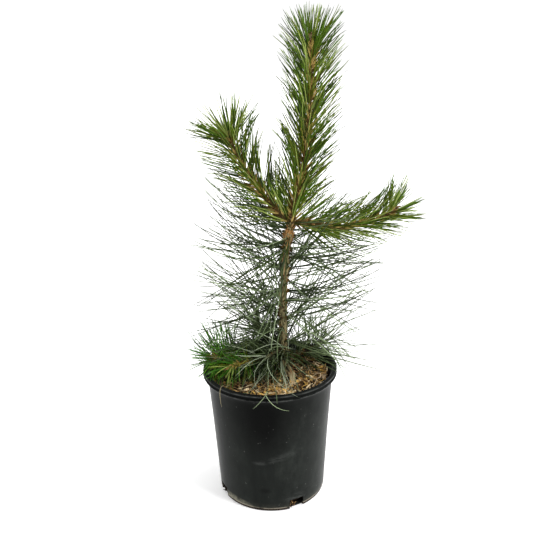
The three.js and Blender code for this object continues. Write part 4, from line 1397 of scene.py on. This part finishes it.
class PINE_OT_bark_chips(bpy.types.Operator):
    """Work the larger chips that lie in the mulch"""

    bl_idname = "pine.bark_chips"
    bl_label = "Bark chips"

    def execute(self, context):
        bark = tuple(context.scene.pine_mulch.brown)
        pale = wood_material("chip_pale", (0.52, 0.38, 0.24), (0.30, 0.19, 0.10), 300, (1.0, 0.3, 1.0))
        brown = wood_material("chip_brown", bark, (0.045, 0.026, 0.013), 260, (0.3, 1.0, 1.0))
        for number in range(1, CHIPS + 1):
            node = f"bark_chip_{number:02d}"
            chip = worked_copy(node, node + "_worked")
            split_wood(chip, *CHIP_WORK, number * CHIP_SEEDS_APART)
            material = pale if number in PALE_CHIPS else brown
            finish(chip, node + "_worked", [material], [node])
        return {"FINISHED"}


# Heights between which the splinter's wood turns from greenish to brown.
SPLINTER_TURNS = (0.219, 0.228)


class PINE_OT_splinter(bpy.types.Operator):
    """Work the splinter that stands on end in front of the trunk"""

    bl_idname = "pine.splinter"
    bl_label = "Upright splinter"

    def execute(self, context):
        piece = worked_copy("wood_splinter", "splinter_upright")
        split_wood(piece, *SPLINTER_WORK, SPLINTER_SEED)
        graph = Graph("splinter_wood")
        grain = graph.noise(420, 8, 0.65, (1.0, 1.0, 0.12))
        streaked = graph.between(grain, 0.38, 0.62)
        low = graph.mixed(streaked, (0.28, 0.24, 0.13), (0.70, 0.60, 0.38))
        high = graph.mixed(streaked, (0.18, 0.085, 0.035), (0.60, 0.40, 0.20))
        colour = graph.mixed(graph.between(graph.height(), *SPLINTER_TURNS), low, high)
        wood = graph.finish(colour, 0.85, grain, 0.001)
        finish(piece, "splinter_upright", [wood], ["wood_splinter"])
        return {"FINISHED"}


def drawn_limb(name, line, radius, spacing, sides, start=0.0, end=1.0):
    """A limb drawn as a curve, with a radius at each point, and made a mesh."""
    deselect()
    bpy.ops.curve.primitive_nurbs_path_add()
    limb = bpy.context.object
    curve = limb.data
    curve.splines.clear()
    spline = curve.splines.new("POLY")
    shares = np.linspace(start, end, max(2, round(line.length * (end - start) / spacing) + 1))
    spline.points.add(len(shares) - 1)
    places = np.column_stack((line.at(shares), np.ones(len(shares))))
    spline.points.foreach_set("co", places.astype(np.float32).ravel())
    spline.points.foreach_set("radius", radius(shares).astype(np.float32))
    curve.dimensions = "3D"
    curve.bevel_depth = 1.0
    curve.bevel_resolution = (sides - 4) // 2
    curve.use_fill_caps = True
    curve.twist_mode = "MINIMUM"
    bpy.ops.object.convert(target="MESH")
    limb.name = name
    return limb


# How fine the bark's plates are, and its grain, across the limb and along it, and how deep that is to those.
PLATES_FINENESS = 210
GRAIN_ACROSS = 500
GRAIN_ALONG = 150
GRAIN_SHARE = 0.6
# How steeply a furrow's sides rise to the plates, and how far its bottom lies under the bare limb's surface.
FURROW_STEEPNESS = 3.0
FURROW_DEPTH = 0.7


def furrowed(limb, depth, stretch):
    """Raises the bark's plates and furrows along the limb."""
    mesh = limb.data
    normals = [vertex.normal.copy() for vertex in mesh.vertices]
    for vertex, normal in zip(mesh.vertices, normals):
        x, y, z = vertex.co
        spot = Vector((x * PLATES_FINENESS, y * PLATES_FINENESS, z * PLATES_FINENESS * stretch))
        gaps = noise.voronoi(spot)[0]
        furrow = min(1.0, (gaps[1] - gaps[0]) * FURROW_STEEPNESS) - FURROW_DEPTH
        spot = Vector((x * GRAIN_ACROSS, y * GRAIN_ACROSS, z * GRAIN_ALONG))
        grain = noise.fractal(spot, 0.8, 2.0, 3)
        vertex.co += normal * depth * (furrow + GRAIN_SHARE * grain)


# How each kind of limb is drawn: the spacing of its points, its sides, its share of the bark's relief, and
# how the relief is drawn out along it.
LIMB_FORMS = {
    "old_wood": (0.0011, 36, 1.0, 0.3),
    "new_wood": (0.002, 20, 0.5, 0.4),
    "limb": (0.0015, 20, 0.6, 0.5),
    "shoot": (0.0018, 16, 0.45, 0.5),
}
# How far above the whorl the old wood ends, and how far the new wood reaches into it, by share.
OLD_WOOD_PAST = 0.004
NEW_WOOD_LAP = 0.004
# The habits of the fresh low twigs.
FRESH_HABITS = ("tuft", "drooping")


def barked_limb(name, form, line, radius, relief, start=0.0, end=1.0):
    """A limb drawn with the relief of its bark."""
    spacing, sides, share, stretch = LIMB_FORMS[form]
    limb = drawn_limb(name, line, radius, spacing, sides, start, end)
    furrowed(limb, relief * share, stretch)
    return limb


def joined_limbs(pieces, name, material, replaced=()):
    make_active(pieces[0])
    for piece in pieces:
        piece.select_set(True)
    if len(pieces) > 1:
        bpy.ops.object.join()
    piece = bpy.context.object
    bpy.ops.object.shade_smooth()
    finish(piece, name, [material], replaced)


class PINE_OT_trunk(bpy.types.Operator):
    """Draw the trunk, the leader and the boughs with the relief of their bark"""

    bl_idname = "pine.trunk"
    bl_label = "Trunk and boughs"

    def execute(self, context):
        settings = context.scene.pine_bark
        relief = settings.relief
        bark = bark_material(settings)
        whorl = trunk_share(WHORL_HEIGHT + OLD_WOOD_PAST)
        old = barked_limb("old_wood", "old_wood", trunk_line, trunk_radius, relief, end=whorl)
        new_start = whorl - NEW_WOOD_LAP
        new = barked_limb("new_wood", "new_wood", trunk_line, trunk_radius, relief, start=new_start)
        joined_limbs([old, new], "trunk_bark", bark, ["trunk"])
        limbs, shoots = [], []
        for bough in BOUGHS:
            limb, shoot = grown(bough)
            limbs.append(barked_limb(bough.node + "_limb", "limb", limb, tapering(*bough.limb[1:]), relief))
            shoots.append(barked_limb(bough.node + "_shoot", "shoot", shoot, shoot_radius(bough), relief))
        upper = len(UPPER_BOUGHS)
        upper_nodes = [bough.node for bough in UPPER_BOUGHS]
        joined_limbs(limbs[:upper] + shoots[:upper], "bough_bark", bark, upper_nodes)
        fresh = [shoot for bough, shoot in zip(BOUGHS, shoots) if bough.habit in FRESH_HABITS]
        # Dark bark for the low branches: painted shade of the tufts over them.
        damp = wood_material("low_bark", (0.10, 0.092, 0.045), (0.034, 0.030, 0.016), 300)
        low = limbs[upper:] + [shoot for shoot in shoots[upper:] if shoot not in fresh]
        joined_limbs(low, "low_branch_bark", damp, [bough.node for bough in LOW_BRANCHES])
        green = wood_material("green_twig", tuple(settings.twig), (0.17, 0.10, 0.02), 260)
        joined_limbs(fresh, "fresh_twigs", green)
        return {"FINISHED"}


class Scales(NamedTuple):
    """One kind of the flakes and scales on the bark."""

    count: int
    size: tuple  # length, and half of the width
    lift: float  # how far they stand off
    bow: float  # how far they bow outwards
    kinds: tuple  # the chances of each of the flakes' three colours


# The bark's flakes on the trunk: from which height to which, with their seed.
TRUNK_FLAKES = (
    (0.214, 0.436, Scales(190, (0.0042, 0.0013), 0.20, 0.15, (0.08, 0.60, 0.32)), 81),
    (0.434, 0.462, Scales(96, (0.0056, 0.0017), 0.34, 0.35, (0.62, 0.32, 0.06)), 82),
    (0.460, 0.486, Scales(70, (0.0062, 0.0014), 0.50, 0.30, (0.14, 0.30, 0.56)), 83),
)
BUD_SCALES = Scales(54, (0.0050, 0.0013), 0.10, -0.25, (0.35, 0.45, 0.20))
LIMB_SCALES = Scales(30, (0.0058, 0.0013), 0.42, 0.25, (0.08, 0.22, 0.70))
LIMB_SCALES_START = 0.1  # by share of the limb
# How far below a bud its scales begin, and where they end, by share of the shoot.
BUD_SCALES_BELOW = 0.003
BUD_SCALES_END = 0.998
BUD_SCALES_SEED = 84
FLAKE_KINDS_SEED = 91
# The boughs that end in a bud with scales.
BUDDED_BOUGHS = BOUGHS[:4]
# How the scales vary in turn, lift and size, and how deep and flat they sit.
SCALE_STRAY = 0.5
SCALE_LIFT_SPREAD = (0.4, 1.6)
SCALE_SPREAD = (0.7, 1.25)
SCALE_ROOTED = 0.9
SCALE_FLATNESS = 0.28


def scale_bodies(line, radius, start, end, scales, seed):
    """Small scales that stand by the golden angle on a stretch of a limb, given by share of its length."""
    count, rng = scales.count, np.random.default_rng(seed)
    share = start + (end - start) * (np.arange(count) + 0.5) / count
    turn = np.arange(count) * GOLDEN_ANGLE + rng.uniform(-SCALE_STRAY, SCALE_STRAY, count)
    tangent, out = line.around(share, turn)
    way = unit(tangent + out * scales.lift * rng.uniform(*SCALE_LIFT_SPREAD, (count, 1)))
    root = line.at(share) + out * (radius(share) * SCALE_ROOTED)[:, None]
    length, half = (measure * rng.uniform(*SCALE_SPREAD, count) for measure in scales.size)
    return tapered_bodies(root, way, out * scales.bow, length, half, FLAKE_PROFILE, FLAKE_SIDES,
                          facing(way, out), flat=SCALE_FLATNESS)


class PINE_OT_bark_flakes(bpy.types.Operator):
    """Set flakes on the bark, scales on the boughs' feet and scales round the buds"""

    bl_idname = "pine.bark_flakes"
    bl_label = "Bark flakes and bud scales"

    def execute(self, context):
        woods = {
            "flake_orange": tuple(context.scene.pine_bark.collar),
            "flake_tan": (0.42, 0.34, 0.17),
            "flake_brown": (0.15, 0.085, 0.035),
        }
        materials = [
            wood_material(name, colour, darkened(colour, 0.4), 500, (1.0, 1.0, 0.4))
            for name, colour in woods.items()
        ]
        placed = [
            (trunk_line, trunk_radius, trunk_share(low), trunk_share(high), scales, seed)
            for low, high, scales, seed in TRUNK_FLAKES
        ]
        buds = [(trunk_line, trunk_radius)]
        for bough in BUDDED_BOUGHS:
            limb, shoot = grown(bough)
            if bough in UPPER_BOUGHS:
                thick = bough.limb[1]
                placed.append((limb, tapering(thick, thick), LIMB_SCALES_START, 1.0, LIMB_SCALES, bough.seed))
            buds.append((shoot, shoot_radius(bough)))
        for line, radius in buds:
            start = 1 - (BUD_LENGTH + BUD_SCALES_BELOW) / line.length
            placed.append((line, radius, start, BUD_SCALES_END, BUD_SCALES, BUD_SCALES_SEED))
        rng = np.random.default_rng(FLAKE_KINDS_SEED)
        kinds = [rng.choice(len(woods), scales.count, p=scales.kinds) for *_, scales, _ in placed]
        flakes = [scale_bodies(*place) for place in placed]
        joined_piece("bark_flakes", flakes, kinds, materials)
        return {"FINISHED"}


class Strand(NamedTuple):
    """A needle that lies over the rim."""

    points: tuple  # those that it passes through
    half: float  # half of its width
    colour: str


RIM_NEEDLES = (
    Strand(((-0.004, -0.088, 0.2140), (-0.0065, -0.1045, 0.2285), (-0.0085, -0.1150, 0.2280),
            (-0.0180, -0.1165, 0.2165), (-0.0280, -0.1125, 0.2042)), 0.00044, "needle_blue"),
    Strand(((-0.003, -0.086, 0.2145), (-0.0060, -0.1040, 0.2290), (-0.0070, -0.1150, 0.2285),
            (0.0040, -0.1175, 0.2135), (0.0160, -0.1170, 0.2055), (0.0284, -0.1140, 0.2009)),
           0.00050, "needle_blue"),
    Strand(((0.0060, -0.080, 0.2170), (0.0080, -0.1050, 0.2300), (0.0094, -0.1155, 0.2265),
            (0.0098, -0.1170, 0.2150)), 0.00058, "needle_grey"),
    Strand(((-0.0735, -0.0775, 0.2280), (-0.0775, -0.0825, 0.2290), (-0.0800, -0.0845, 0.2230),
            (-0.0803, -0.0820, 0.2050), (-0.0792, -0.0770, 0.1894)), 0.00046, "needle_faded"),
)
# How a strand thins towards its tip, and how it is drawn: the spacing of its points and its sides.
STRAND_WIDTHS = (1.05, 0.8, 4)
STRAND_FORM = (0.002, 6)
CURLY_SLIVER = ((0.0740, -0.012, 0.2130), (0.0845, -0.0184, 0.2160), (0.0830, -0.0300, 0.2150),
                (0.0770, -0.0380, 0.2165), (0.0745, -0.0480, 0.2150), (0.0690, -0.0580, 0.2140))
CURLY_RADII = (0.0011, 0.0005)
CURLY_FORM = (0.0015, 8)
FALLEN_NEEDLES = 54
FALLEN_SEED = 95
# How far out the middles of the fallen needles lie, and how far out they may reach.
FALLEN_REACH = 0.085
FALLEN_INSIDE = 0.099
# Their lengths, the share of the way to the edge that they may take up, how steeply and how high they lie,
# how they bend, and half of their width.
FALLEN_LENGTHS = (0.05, 0.12)
FALLEN_SHARE = 1.9
FALLEN_STEEPNESS = 0.02
FALLEN_LIE = (0.0035, 0.0055)
FALLEN_BOW = 0.15
FALLEN_HALF = 0.0006
# Their colours, with the chances of each.
FALLEN_KINDS = {"needle_straw": 0.35, "needle_rust": 0.35, "sheath_dark": 0.15, "needle_grey": 0.15}


def strand_radius(half):
    first, drop, power = STRAND_WIDTHS
    return lambda share: half * (first - np.asarray(share, float) ** power * drop)


class PINE_OT_litter(bpy.types.Operator):
    """Lay loose needles over the mulch and the rim, and one curly sliver of wood"""

    bl_idname = "pine.litter"
    bl_label = "Fallen needles"

    def execute(self, context):
        for number, needle in enumerate(RIM_NEEDLES, 1):
            line = Line(needle.points, (1, 0, 0))
            strand = drawn_limb("rim_needle", line, strand_radius(needle.half), *STRAND_FORM)
            finish(strand, f"rim_needle_{number}", needle_materials([needle.colour]))
        curly = drawn_limb("curly", Line(CURLY_SLIVER, (0, 0, 1)), tapering(*CURLY_RADII), *CURLY_FORM)
        wood = wood_material("sliver_wood", (0.74, 0.56, 0.36), (0.36, 0.24, 0.13), 420)
        finish(curly, "curly_sliver", [wood])
        self.fallen(context.scene.pine_mulch)
        return {"FINISHED"}

    def fallen(self, settings):
        rng, count = np.random.default_rng(FALLEN_SEED), FALLEN_NEEDLES
        angle, out = rng.uniform(0, FULL_TURN, count), FALLEN_REACH * np.sqrt(rng.random(count))
        x, y = out * np.cos(angle), out * np.sin(angle)
        length = np.minimum(rng.uniform(*FALLEN_LENGTHS, count), FALLEN_SHARE * (FALLEN_INSIDE - out))
        heading = rng.uniform(0, FULL_TURN, count)
        way = np.stack((np.cos(heading), np.sin(heading), rng.normal(0, FALLEN_STEEPNESS, count)), axis=-1)
        height = fill_height(x, y, settings) + rng.uniform(*FALLEN_LIE, count)
        bend = rng.normal(0, FALLEN_BOW, (count, 3)) * (1, 1, 0.1)
        root = np.stack((x, y, height), axis=-1) - way * (length / 2)[:, None]
        made = tapered_bodies(root, way, bend, length, np.full(count, FALLEN_HALF), NEEDLE_PROFILE,
                              NEEDLE_SIDES, angle)
        kinds = rng.choice(len(FALLEN_KINDS), count, p=list(FALLEN_KINDS.values()))
        joined_piece("fallen_needles", [made], [kinds], needle_materials(FALLEN_KINDS))


def trunk_fascicles(stretch):
    """The fascicles of a stretch of the trunk, by their place on the old wood or on the leader."""
    start, end = (LEADER_FOOT, 1.0) if stretch.habit == "leader" else (0.0, LEADER_START)
    return fascicles(trunk_line, trunk_radius, stretch, lambda share: (share - start) / (end - start))


def bough_fascicles(bough, stretch):
    """The fascicles of a stretch of a bough: its own kind, or others that stand there too."""
    limb, shoot = grown(bough)
    radius = tapering(bough.limb[1], bough.shoot[2])
    start, end = stretch.start, stretch.end
    return fascicles(limb.going_on(shoot), radius, stretch, lambda share: (share - start) / (end - start))


def own_fascicles(bough, reach):
    return bough_fascicles(bough, Stretch(*reach, bough.habit, bough.fascicles, bough.seed))


def among_branches(stretches):
    """The fascicles of several branches, by the name of each branch."""
    branches = {bough.node: bough for bough in BOUGHS}
    return [bough_fascicles(branches[node], stretch) for node, stretch in stretches.items()]


class PINE_OT_leader_needles(bpy.types.Operator):
    """Grow the needles of the leader and of the two upper boughs"""

    bl_idname = "pine.leader_needles"
    bl_label = "New needles"

    def execute(self, context):
        needle_piece("leader_needles", "leader", [trunk_fascicles(LEADER_STRETCH)], "leader_needles",
                     ["leader_needles_1", "leader_needles_2", "leader_needles_3", "leader_needles_4"])
        for bough in UPPER_BOUGHS:
            needle_piece(bough.mass + "_grown", bough.habit, [own_fascicles(bough, BOUGH_REACH)],
                         "leader_needles", [bough.mass])
        return {"FINISHED"}


class PINE_OT_old_needles(bpy.types.Operator):
    """Grow the long old needles of the trunk"""

    bl_idname = "pine.old_needles"
    bl_label = "Old needles"

    def execute(self, context):
        needle_piece("old_needles", "old", [trunk_fascicles(OLD_STRETCH)], "old_needles",
                     ["trunk_needles_1", "trunk_needles_2", "trunk_needles_3"])
        needle_piece("rising_needles", "rising", [trunk_fascicles(RISING_STRETCH)], "old_needles",
                     ["trunk_needles_4"])
        return {"FINISHED"}


class PINE_OT_low_tufts(bpy.types.Operator):
    """Grow the tufts of the low branches, over the mulch and the rim"""

    bl_idname = "pine.low_tufts"
    bl_label = "Low tufts"

    def execute(self, context):
        for bough in LOW_BRANCHES:
            groups = [own_fascicles(bough, TUFT_REACH[bough.habit])]
            if bough.habit == "skirt":
                groups += [trunk_fascicles(TRUNK_SKIRT), *among_branches(HANGING)]
            slot = "fresh_needles" if bough.habit in FRESH_HABITS else "old_needles"
            needle_piece(bough.mass + "_grown", bough.habit, groups, slot, [bough.mass])
        needle_piece("crowded_old_needles", "crowded", among_branches(CROWDED), "old_needles", [])
        return {"FINISHED"}


# The soft lights: where each comes from, by azimuth and elevation, its power and how wide it is.
STUDIO_LIGHTS = (
    ("key_light", -30, 50, 2.2, 16),
    ("top_light", 100, 76, 1.4, 40),
    ("fill_light", -140, 42, 0.6, 60),
    ("rim_light", 20, 24, 1.8, 34),
)
# The brightness of the walls and of the ceiling, and how high one looks where the one turns into the other.
WALL_LIGHT = 1.05
CEILING_LIGHT = 0.30
CEILING_BAND = (0.20, 0.42)
# How brightly the floor shines by itself, how wide it is, and how far it lies below the pot's underside.
FLOOR_GLOW = 0.30
FLOOR_RADIUS = 60.0
FLOOR_BELOW = 0.0002
# The width of the camera's frame in millimetres, and how far the camera looks aside, a metre ahead.
FRAME_WIDTH = 36
AIM_ASIDE = -0.002


class PINE_OT_stage(bpy.types.Operator):
    """Set the pale floor, the soft light and the camera"""

    bl_idname = "pine.stage"
    bl_label = "Stage"

    def execute(self, context):
        settings = context.scene.pine_stage
        self.floor(context, settings)
        for light in STUDIO_LIGHTS:
            self.light(*light)
        self.surroundings(context)
        self.camera(settings)
        context.scene.view_settings.view_transform = "Standard"
        return {"FINISHED"}

    def floor(self, context, settings):
        deselect()
        bpy.ops.mesh.primitive_circle_add(
            vertices=96, radius=FLOOR_RADIUS, fill_type="NGON", location=(0, 0, -FLOOR_BELOW)
        )
        floor = context.object
        bpy.ops.object.transform_apply(location=True, rotation=True, scale=True)
        floor.name = "studio_floor"
        pale = plain_material("studio_floor", tuple(settings.floor), 0.9, 0.1)
        shader = pale.node_tree.nodes["Principled BSDF"]
        shader.inputs["Emission Color"].default_value = (1, 1, 1, 1)
        shader.inputs["Emission Strength"].default_value = FLOOR_GLOW
        floor.data.materials.append(pale)

    def light(self, name, azimuth, elevation, power, spread):
        deselect()
        bpy.ops.object.light_add(type="SUN", location=(0, 0, 3))
        light = bpy.context.object
        light.name = name
        light.data.energy = power
        light.data.angle = math.radians(spread)
        way = Vector(pointing((azimuth, elevation))) * -1
        light.rotation_euler = way.to_track_quat("-Z", "Y").to_euler()

    def surroundings(self, context):
        """White walls round the studio, under a dimmer ceiling."""
        world = bpy.data.worlds.new("studio")
        world.use_nodes = True
        nodes, links = world.node_tree.nodes, world.node_tree.links
        place = nodes.new("ShaderNodeTexCoord").outputs["Generated"]
        parts = nodes.new("ShaderNodeSeparateXYZ")
        ramp = nodes.new("ShaderNodeMapRange")
        links.new(place, parts.inputs[0])
        links.new(parts.outputs["Z"], ramp.inputs["Value"])
        ramp.inputs["From Min"].default_value, ramp.inputs["From Max"].default_value = CEILING_BAND
        ramp.inputs["To Min"].default_value = WALL_LIGHT
        ramp.inputs["To Max"].default_value = CEILING_LIGHT
        links.new(ramp.outputs["Result"], nodes["Background"].inputs["Strength"])
        nodes["Background"].inputs["Color"].default_value = (1, 1, 1, 1)
        context.scene.world = world

    def camera(self, settings):
        deselect()
        bpy.ops.object.camera_add(location=(0, -settings.eye_distance, settings.eye_height))
        camera = bpy.context.object
        camera.data.lens = settings.lens
        camera.data.sensor_width = FRAME_WIDTH
        forward = Vector((AIM_ASIDE, 1, 0)).normalized() * math.cos(settings.pitch)
        forward.z = -math.sin(settings.pitch)
        right = forward.cross(Vector((0, 0, 1))).normalized()
        up = right.cross(forward)
        leaning_right = right * math.cos(settings.roll) - up * math.sin(settings.roll)
        leaning_up = up * math.cos(settings.roll) + right * math.sin(settings.roll)
        turned = Matrix((leaning_right, leaning_up, -forward)).transposed()
        camera.rotation_euler = turned.to_euler()
        bpy.context.scene.camera = camera


OPERATORS = (
    PINE_OT_pot,
    PINE_OT_growing_medium,
    PINE_OT_mulch,
    PINE_OT_bark_chips,
    PINE_OT_splinter,
    PINE_OT_trunk,
    PINE_OT_bark_flakes,
    PINE_OT_leader_needles,
    PINE_OT_old_needles,
    PINE_OT_low_tufts,
    PINE_OT_litter,
    PINE_OT_stage,
)
SETTINGS = {
    "pine_pot": PotSettings,
    "pine_mulch": MulchSettings,
    "pine_bark": BarkSettings,
    "pine_stage": StageSettings,
}


class PINE_PT_panel(bpy.types.Panel):
    """The pine's pieces, in the order that they are made"""

    bl_idname = "PINE_PT_panel"
    bl_label = "Potted pine"
    bl_space_type = "VIEW_3D"
    bl_region_type = "UI"
    bl_category = "Pine"

    def draw(self, context):
        for operator in OPERATORS:
            self.layout.operator(operator.bl_idname)
        for name in SETTINGS:
            box = self.layout.box()
            for prop in getattr(context.scene, name).bl_rna.properties:
                if prop.identifier not in ("rna_type", "name"):
                    box.prop(getattr(context.scene, name), prop.identifier)


def register():
    for group in SETTINGS.values():
        bpy.utils.register_class(group)
    for name, group in SETTINGS.items():
        setattr(bpy.types.Scene, name, bpy.props.PointerProperty(type=group))
    for operator in OPERATORS:
        bpy.utils.register_class(operator)
    bpy.utils.register_class(PINE_PT_panel)


def unregister():
    bpy.utils.unregister_class(PINE_PT_panel)
    for operator in reversed(OPERATORS):
        bpy.utils.unregister_class(operator)
    for name in SETTINGS:
        delattr(bpy.types.Scene, name)
    for group in reversed(SETTINGS.values()):
        bpy.utils.unregister_class(group)


def main():
    register()
    bpy.ops.pine.pot()
    bpy.ops.pine.growing_medium()
    bpy.ops.pine.mulch()
    bpy.ops.pine.bark_chips()
    bpy.ops.pine.splinter()
    bpy.ops.pine.trunk()
    bpy.ops.pine.bark_flakes()
    bpy.ops.pine.leader_needles()
    bpy.ops.pine.old_needles()
    bpy.ops.pine.low_tufts()
    bpy.ops.pine.litter()
    bpy.ops.pine.stage()


if __name__ == "__main__":
    main()
